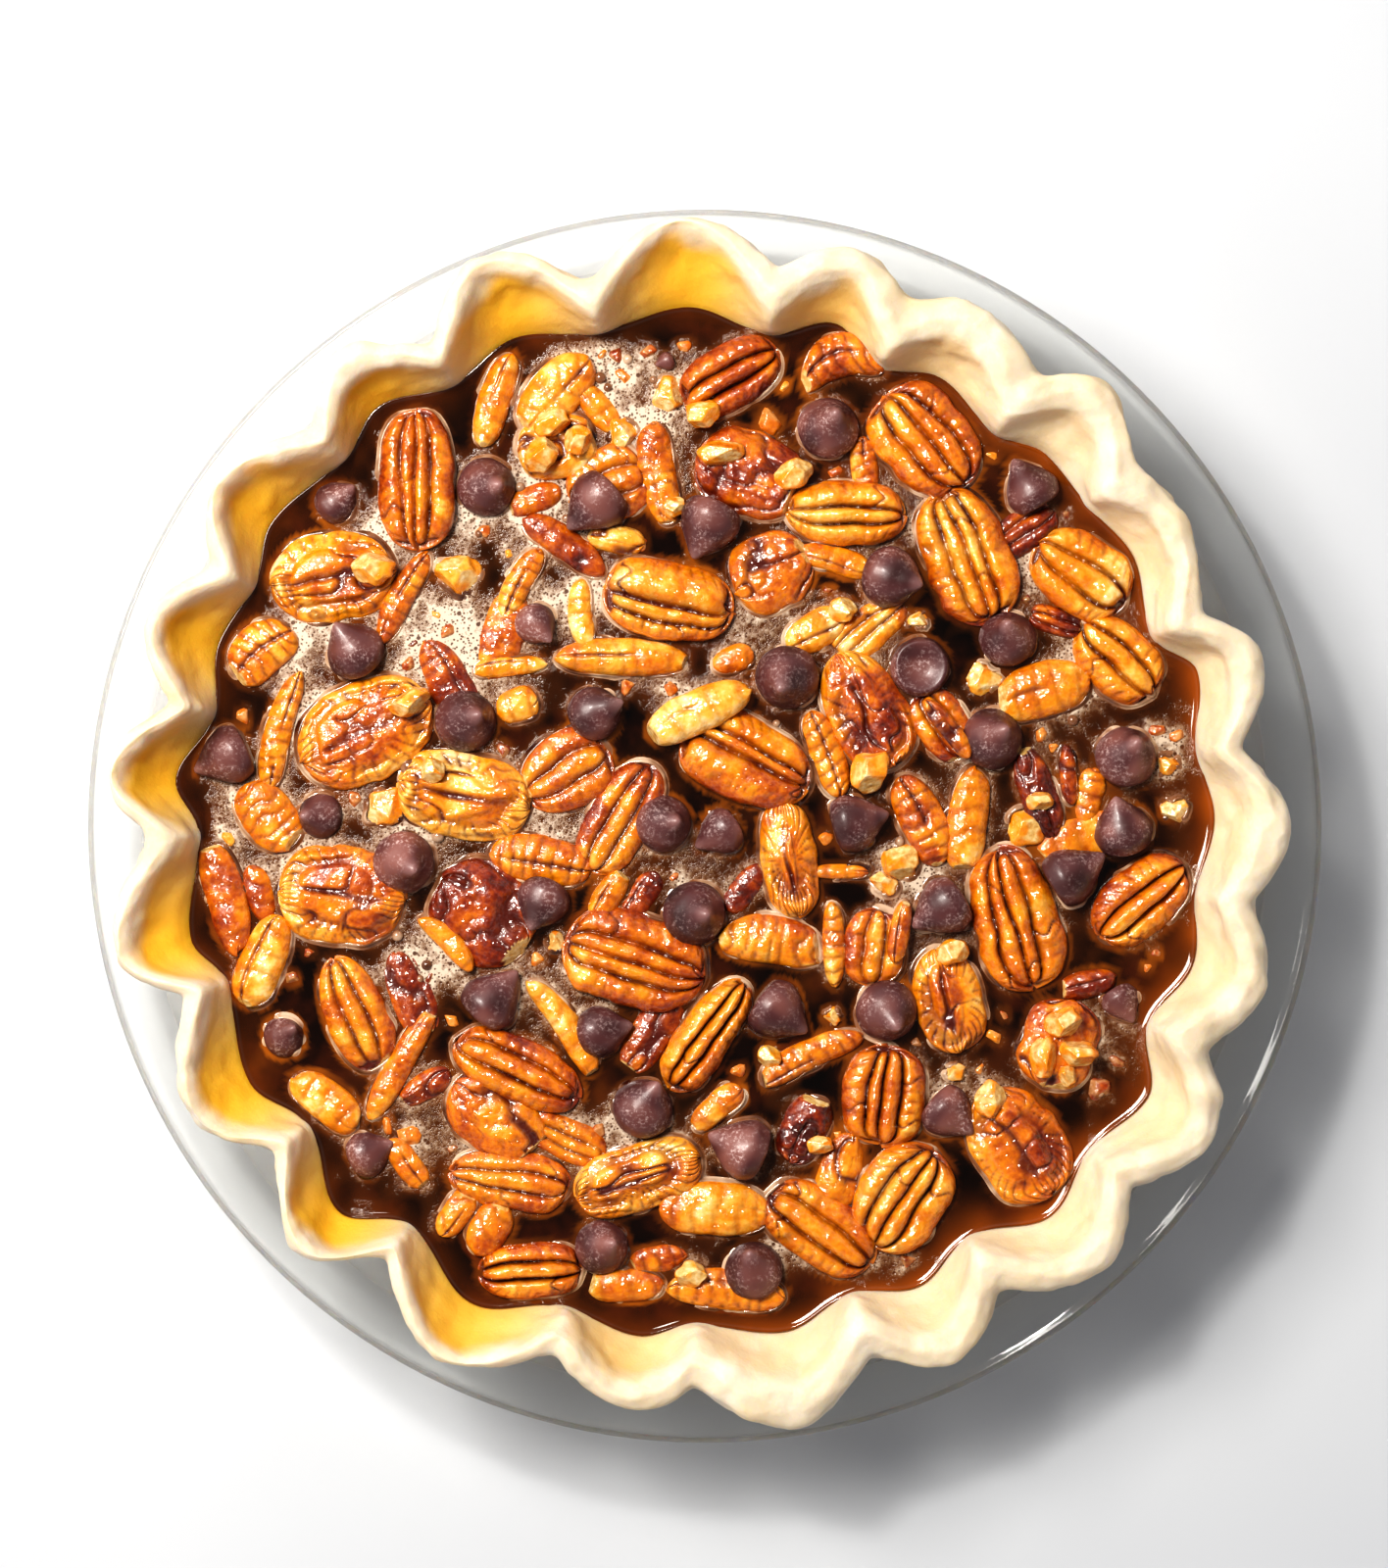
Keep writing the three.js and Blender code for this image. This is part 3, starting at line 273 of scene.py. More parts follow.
def loft(rings, start, end, **marks):
    """A closed skin over rings of points (rows, round, 3), gathered to a point at each end.

    A mark is an array (rows, round), and the points at the ends take the mean of the ring beside them.
    """
    rows, around, _ = rings.shape
    points = np.vstack([[start], rings.reshape(-1, 3), [end]])
    index = 1 + np.arange(rows * around).reshape(rows, around)
    beside = np.roll(index, -1, axis=1)
    quads = np.stack([index[:-1], beside[:-1], beside[1:], index[1:]], axis=-1).reshape(-1, 4)
    first, last = np.zeros(around, int), np.full(around, rows * around + 1)
    start_fan = np.stack([first, beside[0], index[0]], -1)
    end_fan = np.stack([index[-1], beside[-1], last], -1)
    tris = np.vstack([start_fan, end_fan])
    flat = {name: np.concatenate([[m[0].mean()], m.ravel(), [m[-1].mean()]]) for name, m in marks.items()}
    return Part(points, quads, tris, **flat).outward()


def hoop(rings, **marks):
    """A closed ring-shaped skin over points (round, section, 3), joined both ways."""
    around, section, _ = rings.shape
    index = np.arange(around * section).reshape(around, section)
    ahead, beside = np.roll(index, -1, axis=0), np.roll(index, -1, axis=1)
    quads = np.stack([index, ahead, np.roll(ahead, -1, axis=1), beside], axis=-1).reshape(-1, 4)
    flat = {name: m.ravel() for name, m in marks.items()}
    return Part(rings.reshape(-1, 3), quads, np.zeros((0, 3), int), **flat).outward()


def turned_by(points, heading=0.0, lean=0.0, roll=0.0):
    """Points rolled about X, then leant about Y, then headed about Z, all in degrees."""
    for degrees, (i, j) in ((roll, (1, 2)), (lean, (2, 0)), (heading, (0, 1))):
        c, s = math.cos(math.radians(degrees)), math.sin(math.radians(degrees))
        moved = points.copy()
        moved[..., i] = c * points[..., i] - s * points[..., j]
        moved[..., j] = s * points[..., i] + c * points[..., j]
        points = moved
    return points


def piece(name, parts, material, replaces=()):
    """Makes one object of these parts, in metres, smooth, on the pie's body."""
    offsets = np.cumsum([0] + [len(part.points) for part in parts[:-1]])
    points = np.vstack([part.points for part in parts])
    quads = np.vstack([part.quads + offset for part, offset in zip(parts, offsets)])
    tris = np.vstack([part.tris + offset for part, offset in zip(parts, offsets)])
    corners = np.concatenate([quads.ravel(), tris.ravel()]).astype(np.int32)
    sizes = np.concatenate([np.full(len(quads), 4), np.full(len(tris), 3)])
    mesh = bpy.data.meshes.new(name)
    mesh.vertices.add(len(points))
    mesh.vertices.foreach_set("co", (points * MM).astype(np.float32).ravel())
    mesh.loops.add(len(corners))
    mesh.loops.foreach_set("vertex_index", corners)
    mesh.polygons.add(len(sizes))
    mesh.polygons.foreach_set("loop_start", np.concatenate([[0], np.cumsum(sizes)[:-1]]).astype(np.int32))
    mesh.polygons.foreach_set("use_smooth", np.ones(len(sizes), bool))
    mesh.update(calc_edges=True)
    for mark in parts[0].marks:
        layer = mesh.attributes.new(mark, "FLOAT", "POINT")
        values = np.concatenate([part.marks[mark] for part in parts])
        layer.data.foreach_set("value", values.astype(np.float32))
    mesh.materials.append(material)
    thing = bpy.data.objects.new(name, mesh)
    bpy.context.scene.collection.objects.link(thing)
    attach(thing, "root")
    if replaces:
        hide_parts(*replaces)
    return thing


# ---- Pecans ----
HALF_DEPTH = 2.8         # how far a half goes below its waterline
RIM_WIDTH = 2.5          # the folded rim of a half's face
RIB_SPACING = 2.7        # from one rib of it to the next
BACK_HEIGHT, FACE_HEIGHT = 4.3, 3.6     # of a half over its waterline
UNDER_HEIGHT = 3.0                      # of a nut that lies under the syrup, over its own middle
BROKEN_GROOVES, UNDER_GROOVES, CRUMB_GROOVES = (-0.35, 0.3), (-0.3, 0.3), (-0.2, 0.4)
BROKEN_AT, STRIP_BROKEN_AT = 0.8, 0.86  # where a broken end is, as a share of half the length
# points along and round each kind
HALF_STEPS, BROKEN_STEPS, STRIP_STEPS, UNDER_STEPS = (84, 108), (46, 60), (48, 44), (40, 40)
CHUNK_STEPS, RIDGE_STEPS, BIT_STEPS = (26, 36), (34, 40), (9, 12)
# the first seed of each kind; whole halves and chips count from 1
BROKEN_SEED, STRIP_SEED, CHUNK_SEED, SUNK_SEED, UNDER_SEED, CRUMB_SEED = 40, 80, 120, 160, 200, 300
LUCK_SEED = 900


def luck(count, seed):
    """That many repeatable numbers from 0 to 1."""
    return hashed([np.arange(count), np.zeros(count), np.zeros(count)], seed + LUCK_SEED)


def crease(count, breadth):
    """1 where a count is whole, falling as a bell curve on both sides."""
    return bell(count - np.round(count), breadth)


def across_and_up(around, top_share=0.75):
    """Places round a nut's section: -1 to 1 across, and 1 at the top to -1 underneath.

    Three quarters of them are spread over the top, where they show, halfway between even steps across and
    even steps of the turn, and the rest underneath.
    """
    top = int(around * top_share)
    way = np.linspace(0, 1, top, endpoint=False)
    over = 0.5 * np.cos(np.pi * way) + 0.5 * (1 - 2 * way)
    turn = np.linspace(np.pi, 2 * np.pi, around - top, endpoint=False)
    across = np.concatenate([over, np.cos(turn)])
    crown = (1 - np.abs(over) ** 2.3) ** 0.55
    return across, np.concatenate([crown, np.sin(turn)])


def back_relief(across, along, spot, grooves, chance, seed):
    """How high each place of a back stands, from 0 to 1, and how deep in a furrow it lies.

    Between two grooves a lobe is a round arch, and the grooves wander. Each lobe ends at its own place. Soft
    dents cross the lobes, a few sharp cracks cross single ones, and slanting wrinkles 2.3 mm apart cross the
    outer ones.
    """
    edges = [-1.22 + 0 * along]
    for k, groove in enumerate(grooves):
        edge = groove + 0.05 * np.sin(2.3 * along + 4 * chance[k])
        edges.append(edge + 0.02 * np.sin(6.1 * along + 9 * chance[k]))
    edges.append(1.22 + 0 * along)
    high, number = np.zeros_like(across), np.zeros_like(across)
    for k, (low, top) in enumerate(zip(edges[:-1], edges[1:])):
        local = (across - (low + top) / 2) / ((top - low) / 2) / 0.94
        shape = np.sqrt(np.clip(1 - np.abs(local) ** 2.3, 0, 1)) * (0.84 + 0.16 * chance[k + 3])
        way = np.abs((along - 0.1 * (chance[k] - 0.5)) / (0.9 + 0.14 * chance[k + 2]))
        shape = shape * np.sqrt(np.clip(1 - way ** 7, 0, 1))
        number = np.where(np.abs(local) < 1, k, number)
        high = np.maximum(high, shape)
    count = 1.9 * along + 0.41 * number + 0.3 * noise(spot, 5, seed + 5) + chance[0]
    dent = crease(count, 0.17) * step(-0.4, 0.5, noise(spot, 9, seed + 11))
    zigzag = 1.2 * along + 0.57 * number + 0.1 * np.sin(9 * across) + chance[1]
    crack_number = np.stack([number, np.round(zigzag), 0 * along], -1)
    crack = crease(zigzag, 0.03) * (noise(crack_number, 0.8, seed + 9) > 0.25)
    # The furrow mark darkens a place by how low it lies between lobes: partly the skin's own darker brown in
    # the grooves, partly painted shade.
    furrow = np.clip(1.25 * (1 - high) ** 1.4 - 0.08, 0, 1) * (0.8 + 0.4 * noise(spot, 6, seed + 18))
    wrinkles = spot[..., 0] / 2.3 + 0.9 * np.abs(across) + 0.7 * noise(spot, 5, seed + 19)
    wrinkle = crease(wrinkles, 0.14) * step(0.42, 0.72, np.abs(across))
    wrinkle = wrinkle * step(-0.35, 0.2, noise(spot, 8, seed + 20))
    marks = np.clip(furrow + 0.2 * dent + 0.7 * crack + 0.4 * wrinkle, 0, 1)
    return high - 0.16 * dent * high - 0.2 * crack - 0.13 * wrinkle, marks


def face_relief(across, along, spot, inset, chance, seed):
    """How high each place of a face stands, and how deep in a furrow it lies, by its distance from the edge.

    The rim is a rounded fold crossed by ribs that run further in at some places. Inside it lies a trough, in
    parts filled up, and in the middle lumps parted by a wandering cleft and by creases where smooth noise
    crosses nought.
    """
    depth_in = inset + 1.4 * noise(spot, 5, seed + 3)
    rim = bell((depth_in - 0.5 * RIM_WIDTH) / RIM_WIDTH, 0.6) * (0.9 + 0.25 * noise(spot, 6, seed + 8))
    turn = np.arctan2(across, along)
    ribs = turn * (10 + 3 * chance[0]) / 2.4 + 0.8 * noise(spot, 4.5, seed + 2)
    run_in = (1.35 + 0.9 * noise(spot, 6, seed + 16)) * RIM_WIDTH
    rib = crease(ribs, 0.13) * step(0.6, -0.6, depth_in - run_in)
    inner = step(0.9 * RIM_WIDTH, 1.7 * RIM_WIDTH, depth_in)
    floor_of_trough = 0.88 - 0.36 * step(-0.3, 0.4, noise(spot, 7, seed + 17))
    folds = np.abs(noise(spot * (0.7, 1, 1), 3.6, seed + 4))
    cleft = bell(across - 0.2 * noise(spot, 7, seed + 6) - 0.14 * (chance[1] - 0.5), 0.08)
    cleft = cleft * step(0.8, 0.5, np.abs(along))
    creases = np.clip(bell(folds, 0.11) + cleft, 0, 1)
    lumps = 1.0 - 0.4 * creases + 0.2 * noise(spot, 5, seed + 12)
    surface = np.maximum(np.maximum(rim, inner * lumps), floor_of_trough)
    trough = np.clip(1.5 * (0.85 - surface), 0, 0.5)
    return surface - 0.22 * rib * rim, np.clip(trough + 0.6 * rib + 0.75 * creases * inner, 0, 1)


def lobe_relief(across, along, spot, length, chance, seed):
    """A single lobe: shallow dents across it, and one furrow along it, off its middle."""
    count = along * length / 9 + 0.5 * noise(spot, 6, seed + 3) + chance[0]
    dent = crease(count, 0.14)
    furrow = bell(across - 0.9 * (chance[1] - 0.5) - 0.12 * noise(spot, 8, seed + 4), 0.1)
    furrow = furrow * step(-0.1, 0.4, noise(spot, 9, seed + 15))
    return 1 - 0.15 * dent - 0.3 * furrow, np.clip(0.35 * dent + 0.8 * furrow, 0, 1)


def rib_relief(across, along, spot, length, chance, seed):
    """A broken rim: ribs across it, 2.7 mm apart, that slant and fork as smooth noise shifts their count."""
    count = along * length / 2 / RIB_SPACING + 0.5 * across * (chance[0] - 0.3)
    count = count + 0.5 * noise(spot, 4, seed + 3)
    rib = crease(count, 0.13)
    furrow = bell(across - 0.5 + 0.9 * chance[1] - 0.1 * noise(spot, 8, seed + 4), 0.12)
    furrow = furrow * step(-0.3, 0.3, noise(spot, 9, seed + 15))
    return 1 - 0.24 * rib - 0.32 * furrow, np.clip(0.6 * rib + 0.9 * furrow, 0, 1)


def crumple_relief(spot, seed):
    """A crushed half: folds along and across it, where stretched noise crosses nought."""
    stretched = spot * (0.55, 1, 1)
    fold = np.abs(noise(stretched, 3.6, seed + 3))
    fine_fold = np.abs(noise(spot, 2.2, seed + 4))
    crumpled = bell(fold, 0.16) + 0.4 * bell(fine_fold, 0.12)
    return 1 - 0.45 * crumpled + 0.2 * noise(spot, 5, seed + 5), np.clip(crumpled, 0, 1)


def relief_of(side, across, along, spot, inset, length, grooves, chance, seed):
    """How high each place stands, and how deep in a furrow it lies, by which side is up."""
    if side == "back":
        return back_relief(across, along, spot, grooves, chance, seed)
    if side == "face":
        return face_relief(across, along, spot, inset, chance, seed)
    if side == "lobe":
        return lobe_relief(across, along, spot, length, chance, seed)
    if side == "rib":
        return rib_relief(across, along, spot, length, chance, seed)
    return crumple_relief(spot, seed)


def tone_of(side, redness, along, spot, inset, crest, chance, seed):
    """How dark each place is: the nut's redness with smooth noise and a drift along it, paler on some crests.

    A back is darker near its edge as painted shade, and a face darker within its rim.
    """
    tone = redness + 0.16 * noise(spot, 8, seed + 7) + 0.1 * noise(spot, 2.4, seed + 8)
    tone = tone + 0.12 * along * (chance[7] - 0.3)
    tone = tone - 0.2 * crest * step(0.15, 0.75, noise(spot, 4.5, seed + 10))
    # painted shade: a back darkened within about 2 mm of its edge, where it meets the syrup
    if side == "back":
        tone = tone + 0.14 * step(2.2, 0.4, inset)
    if side == "face":
        tone = tone + 0.2 * step(0.7 * RIM_WIDTH, 1.8 * RIM_WIDTH, inset) - 0.09
    return tone


def slice_off(points, cut, plane, distance):
    """Flattens what lies beyond a plane onto it, and marks it as a cut face."""
    beyond = np.clip(points @ plane - distance, 0, None)
    return points - beyond[..., None] * plane, np.maximum(cut, step(0.0, 0.12, beyond))


def nut(x, y, length, width, heading, roll, base, height, side, redness, grooves, seed, bend=0.0,
        fine=HALF_STEPS, broken=0.0):
    """A pecan half or a piece of one, lying with its waterline at the base height.

    Across it, the section is a crown over a shallow keel: the crown is one minus a power of the place, to a
    power. Along it, both shrink to nothing as the root of one minus a power of the place. The relief scales
    the crown, a bend swings the middle line off as a parabola, and a broken end is a slanting plane.
    """
    rows, around = fine
    chance = luck(10, seed)
    along = -np.cos(np.linspace(0, np.pi, rows + 2)[1:-1])[:, None] + np.zeros((1, around))
    across, up = across_and_up(around)
    across, up = across[None] + 0 * along, up[None] + 0 * along
    fullness, taper = 2.5 + 1.2 * chance[0], 0.24 * (chance[1] - 0.5)
    narrow = np.sqrt(np.clip(1 - np.abs(along) ** fullness, 0, 1)) * (1 - taper * along)
    spot = np.stack([along * length / 2, across * width / 2, 0 * along + 9.0 * seed], -1)
    beside, beyond = (1 - np.abs(across)) * narrow * width / 2, (1 - np.abs(along)) * length / 2
    inset = 1 / np.sqrt(1 / (beside + 0.01) ** 2 + 1 / (beyond + 0.01) ** 2)
    high, furrow = relief_of(side, across, along, spot, inset, length, grooves, chance, seed)
    crown, keel = np.clip(up, 0, 1), np.clip(-up, 0, 1)
    shown = step(0.1, 0.55, crown)
    high = 1 + (high - 1) * shown * (0.72 if side == "back" else 0.8)
    humps = 0.3 * noise(spot, 5, seed) + 0.14 * noise(spot, 1.9, seed + 2)
    humps = humps + 0.08 * noise(spot, 1.0, seed + 13)
    edge = np.stack([along * length / 2, np.sign(across) * 3.0, 0 * along + seed], -1)
    ragged = 1 + 0.06 * noise(edge, 3, seed + 1)
    notch = np.abs(along) ** 4 * (0.12 * (1 - high) + 0.05 * noise(spot, 4, seed + 14))
    points = np.stack([
        spot[..., 0] * (1 - notch),
        across * narrow * ragged * width / 2 + bend * width * (0.5 - 2 * (along / 2) ** 2),
        narrow ** 0.5 * (height * crown * high + humps * shown) - HALF_DEPTH * narrow ** 0.6 * keel], -1)
    cut = np.zeros_like(across)
    if broken:
        sign = 1 if chance[4] > 0.5 else -1
        lean, turned = 0.35 + 0.5 * chance[5], 0.7 * (chance[6] - 0.5)
        plane = np.array([sign * math.cos(lean) * math.cos(turned), math.cos(lean) * math.sin(turned),
                          math.sin(lean)])
        points, cut = slice_off(points, cut, plane, broken * length / 2)
    ends = [points[0].mean(axis=0), points[-1].mean(axis=0)]
    tone = tone_of(side, redness, along, spot, inset, shown * (1 - furrow), chance, seed)
    part = loft(points, *ends, tone=tone, furrow=furrow * shown, cut=cut)
    part.points = turned_by(part.points, heading, 0, roll) + (x, y, base)
    return part


def chunk(x, y, length, width, heading, height, seed, base=SYRUP_LEVEL, fine=CHUNK_STEPS):
    """A chopped piece: a noisy ball flattened against planes, whose flats are the pale cut faces."""
    rows, around = fine
    polar = np.linspace(0, np.pi, rows + 2)[1:-1][:, None] + np.zeros((1, around))
    turn = np.linspace(0, 2 * np.pi, around, endpoint=False)[None] + 0 * polar
    ball = spun(np.sin(polar), turn, np.cos(polar))
    points = ball * (1 + 0.2 * noise(ball * 3 + seed, 1.6, seed))[..., None]
    cut = np.zeros(polar.shape)
    slants = luck(4, seed)
    for slant, (compass, rise) in zip(slants, ((0.3, 1.25), (2.6, 0.7), (4.6, 0.6), (1.4, 0.35))):
        bearing = compass + 1.4 * slant + 0.7 * seed
        plane = np.array([np.cos(bearing) * np.cos(rise), np.sin(bearing) * np.cos(rise), np.sin(rise)])
        points, cut = slice_off(points, cut, plane, 0.56 + 0.16 * slant)
    cut = cut * step(-0.35, 0.1, noise(ball * 2 + seed, 1.5, seed + 3))
    points = points * (length / 2, width / 2, height) * (1, 1, 1.3)
    points[..., 2] = np.where(points[..., 2] < 0, points[..., 2] * 0.8, points[..., 2])
    tone = 0.4 + 0.14 * noise(points, 3, seed + 2)
    ends = [points[0].mean(axis=0), points[-1].mean(axis=0)]
    part = loft(points, *ends, tone=tone, furrow=0 * tone, cut=cut)
    part.points = turned_by(part.points, heading) + (x, y, base)
    return part


# ---- Chips ----
CHIP_FLOAT = 0.6         # how far over the syrup a chip's widest ring lies
CHIP_HEIGHT = 0.66       # from that ring to the point, as a share of the diameter
CHIP_STEPS, CHIP_ROUND = 46, 40         # points along its section, and round it


def chip(x, y, diameter, heading, reach, lift, curl, roughness, seed):
    """A dropped chip: its section turned about its axis, drawn to a point that curls over, and leant.

    The section runs from the flat foot over the widest ring to the point. The middle of each ring moves
    sideways with the cube of its share of the height, times the curl.
    """
    radius = diameter / 2
    flipped = reach < 0
    tip = max(CHIP_HEIGHT * diameter, reach)
    foot = -0.5 * radius + (1.6 if flipped else 0)
    section = smooth_line([(0, foot), (0.3 * radius, foot), (0.84 * radius, -0.5 * radius), (radius, 0),
                           (0.8 * radius, 0.46 * radius), (0.36 * radius, 0.72 * tip),
                           (0.14 * radius, 0.93 * tip), (0, tip)], CHIP_STEPS, 5)[1:-1]
    turn = np.linspace(0, 2 * np.pi, CHIP_ROUND, endpoint=False)[None]
    out, high = section[:, :1] + 0 * turn, section[:, 1:] + 0 * turn
    ball = spun(out, turn, high)
    swell = 1 + (0.012 + 0.02 * roughness) * noise(ball + 11 * seed, 2.6, seed) \
        + 0.012 * roughness * noise(ball + 11 * seed, 0.9, seed + 1) \
        + 0.012 * np.sin(high * 3.1 + turn) * step(0.1, 0.6, high / tip)
    share = np.clip(high / tip, 0, 1)
    lean_over = curl * radius * 0.45 * share ** 3
    droop = curl * radius * 0.5 * np.clip(share - 0.72, 0, 1) ** 1.5
    rings = spun(out, turn, high - droop)
    rings[..., :2] *= swell[..., None]
    rings[..., 0] += lean_over
    ends = [rings[0].mean(axis=0), rings[-1].mean(axis=0)]
    bloom = 0.5 + 0.3 * noise(ball + 5 * seed, 4, seed + 2) + 0.35 * (roughness - 0.4)
    part = loft(rings, *ends, bloom=bloom, point=share ** 2)
    lean = 180 if flipped else math.degrees(math.asin(0.98 * min(1, max(reach, 2.4) / tip)))
    part.points = turned_by(part.points, heading, lean) + (x, y, SYRUP_LEVEL + CHIP_FLOAT + lift)
    return part


# ---- The fluted crust ----
def flutes(angle):
    """What the flutes are at each angle: the valley's and the crest's sizes, and the shares of a crest.

    Between a valley and a crest, the share is the sine of the way between them, to a power.
    """
    starts = np.argsort(np.concatenate([VALLEYS[:, 0], CRESTS[:, 0]]) % 360)
    knots = np.concatenate([VALLEYS[:, 0], CRESTS[:, 0]])[starts]
    rows = np.concatenate([np.arange(len(VALLEYS)), np.arange(len(CRESTS))])[starts]
    crested = np.concatenate([np.zeros(len(VALLEYS), bool), np.ones(len(CRESTS), bool)])[starts]
    slot_before = (np.searchsorted(knots, angle % 360, side="right") - 1) % len(knots)
    slot_after = (slot_before + 1) % len(knots)
    span = (knots[slot_after] - knots[slot_before]) % 360
    way = ((angle - knots[slot_before]) % 360) / span
    share = np.where(crested[slot_before], 1 - way, way)
    valley = np.where(crested[slot_before], rows[slot_after], rows[slot_before])
    crest = np.where(crested[slot_before], rows[slot_before], rows[slot_after])
    rise = np.sin(share * np.pi / 2)
    shares = [rise ** power for power in (OUTSIDE_SHARPNESS, SCOOP_SHARPNESS, INSIDE_SHARPNESS)]
    return VALLEYS[valley], CRESTS[crest], shares, share


def mix(a, b, share):
    """From a at no share to b at a whole one."""
    return a + (b - a) * share


def crust_sections(angle):
    """The crust's section at each angle as 13 corners (radius, height), from underneath out, over and in."""
    valley, crest, (outside, scoop, inside), share = flutes(angle)
    v_out, v_in = valley[:, 1], valley[:, 2]
    c_out, c_hollow, c_in = crest[:, 1], crest[:, 2], crest[:, 3]
    outer = mix(v_out, c_out, outside)
    ridge = RIDGE + RIDGE_SWING * np.sin(1.7 * crest[:, 0]) * share
    foot = np.minimum(106.2, v_out - 0.3)
    corners = [
        (83.5, CRUST_UNDERSIDE), (90.4, 8.6), (105.5, 29.5),
        (mix(foot, 107.2, outside), mix(32.8, 33.7, outside)),
        (mix(v_out, c_out - 1, outside), 34.7),
        (outer + 0.2, 38), (outer - 0.5, ridge - 1.3),
        (mix((v_out + v_in) / 2, (c_out + c_hollow) / 2, (outside + scoop) / 2), ridge),
        (mix(v_in + 2.6, c_hollow - 0.2, scoop), ridge - 1.5),
        (mix(v_in + 0.9, mix(c_in, c_hollow, 0.7), scoop), 38),
        (mix(v_in, c_in, inside), SYRUP_LEVEL),
        (89.5, 14.2), (82, 9.1)]
    columns = [np.stack([radius + 0 * angle, height + 0 * angle], -1) for radius, height in corners]
    return np.stack(columns, axis=1)


def syrup_radius(angle):
    """The radius of the crust's inner face at the syrup, at each angle in degrees."""
    valley, crest, (_, _, inside), _ = flutes(angle)
    return mix(valley[:, 2], crest[:, 3], inside)


PAINTED_SHADE_SIDE = 165.0     # the side of the pie towards the window, whose scoops face away from it and get a painted yellow shade
CRUST_STEPS = 1056       # sections all round
SECTION_STEPS = [4, 10, 4, 4, 6, 7, 8, 8, 9, 9, 9, 3]   # points between each two corners
CORNER_ROUNDING = 5      # how many times neighbours are averaged along a section
FLUTE_ROUNDING = 3       # and from one section to the next
CRUST_TOP = 45.3         # nothing of it is higher
CRUST_FLOOR = 9.0        # its upper side in the middle of the dish


def crust():
    """The crust: its sections all round, rounded at the corners and pushed in and out by smooth noise."""
    angle = np.arange(CRUST_STEPS) * 360 / CRUST_STEPS
    corners, last = crust_sections(angle), len(SECTION_STEPS)
    places = np.concatenate([k + np.arange(n) / n for k, n in enumerate(SECTION_STEPS)] + [[last]])
    low = np.minimum(places.astype(int), last - 1)
    share = (places - low)[None, :, None]
    line = corners[:, low] * (1 - share) + corners[:, low + 1] * share
    for _ in range(CORNER_ROUNDING):
        line[:, 1:-1] = (line[:, :-2] + 2 * line[:, 1:-1] + line[:, 2:]) / 4
    for _ in range(FLUTE_ROUNDING):
        line = (np.roll(line, 1, axis=0) + 2 * line + np.roll(line, -1, axis=0)) / 4
    turn = np.radians(angle)[:, None]
    skin = spun(line[..., 0], turn, line[..., 1])
    slope = np.gradient(line, axis=1)
    slope = slope / np.linalg.norm(slope, axis=-1, keepdims=True)
    outwards = spun(slope[..., 1], turn, -slope[..., 0])
    free = step(34.5, 37.5, line[..., 1]) * (places >= 4)[None]
    free = np.clip(free + step(31, 35, line[..., 1]) * (places > 9)[None], 0, 1)
    push = 0.9 * noise(skin, 11, 1) + 0.6 * noise(skin, 5, 2)
    push = push + 0.24 * noise(skin, 2.4, 3) + 0.07 * noise(skin, 1.1, 4)
    skin = skin + outwards * (push * free)[..., None]
    skin[..., 2] = np.minimum(skin[..., 2], CRUST_TOP)
    # Painted shade: the scoops' inner walls are tinted deep yellow, mostly on the window's side, where they
    # face away from the light.
    shade_side_share = 0.2 + 0.8 * step(-0.45, 0.35, np.cos(np.radians(angle - PAINTED_SHADE_SIDE)))
    depth = (places[None] - 7.6) / 1.4 + 0.35 * noise(skin, 6, 9)
    hollow = (flutes(angle)[2][1] ** 0.5 * shade_side_share)[:, None] * step(0.1, 0.8, depth) * (places > 6.5)[None]
    # Painted shade: a patchy band of the same yellow on the outer side just under the ridge, where the
    # ridge's overhang shades it.
    edge = 0.35 * bell(places - 4.9, 1.3)[None] * step(-0.3, 0.7, noise(skin, 14, 10))
    hollow = np.maximum(hollow, edge)
    rings = np.swapaxes(skin, 0, 1)
    return loft(rings, (0, 0, CRUST_UNDERSIDE), (0, 0, CRUST_FLOOR), hollow=np.swapaxes(hollow, 0, 1))


# ---- The syrup ----
CELL = 0.5               # the side of a square of the height map
MAP_SIDE = 440           # how many squares the map has each way
EMPTY = -99.0            # the map's height where nothing lies
WATERLINE = SYRUP_LEVEL - 0.3   # a topping that reaches this height shows in the syrup
PRESSED_IN = 0.35        # how high a small piece's middle lies over the nut below, as a share of its height
LIT_AMBER_SIDE = -15.0       # the side of the pie across from the window, where the syrup by the crust is lit; the amber of thin syrup is painted strongest there, as painted light
SYRUP_ROUND, SYRUP_RINGS = 560, 160     # points round its surface, and rings from the middle out
SYRUP_WALL = ((88.9, 14.7), (81.5, 9.6))   # (radius, height) of its underside's corners
SYRUP_BOTTOM = 9.5


def map_place(x, y):
    """Where a place in millimetres lies on the map, in squares."""
    return np.stack([x, y], -1) / CELL + MAP_SIDE / 2


def height_map(parts):
    """The highest point of the nuts and chips over each small square, widened by a square each way."""
    heights = np.full((MAP_SIDE, MAP_SIDE), EMPTY)
    for part in parts:
        cell = np.clip(map_place(part.points[:, 0], part.points[:, 1]).astype(int), 0, MAP_SIDE - 1)
        np.maximum.at(heights, (cell[:, 1], cell[:, 0]), part.points[:, 2])
    for axis in (0, 1):
        heights = np.maximum(heights, np.maximum(np.roll(heights, 1, axis), np.roll(heights, -1, axis)))
    return heights


def distance_map(filled, reach=14):
    """How far each square is from the filled ones, in millimetres: its nearest neighbour's plus a step."""
    far = np.where(filled, 0.0, reach * 2.0)
    for _ in range(int(reach / CELL)):
        for dy, dx in product((-1, 0, 1), repeat=2):
            if dy or dx:
                far = np.minimum(far, np.roll(far, (dy, dx), (0, 1)) + CELL * math.hypot(dy, dx))
    return far


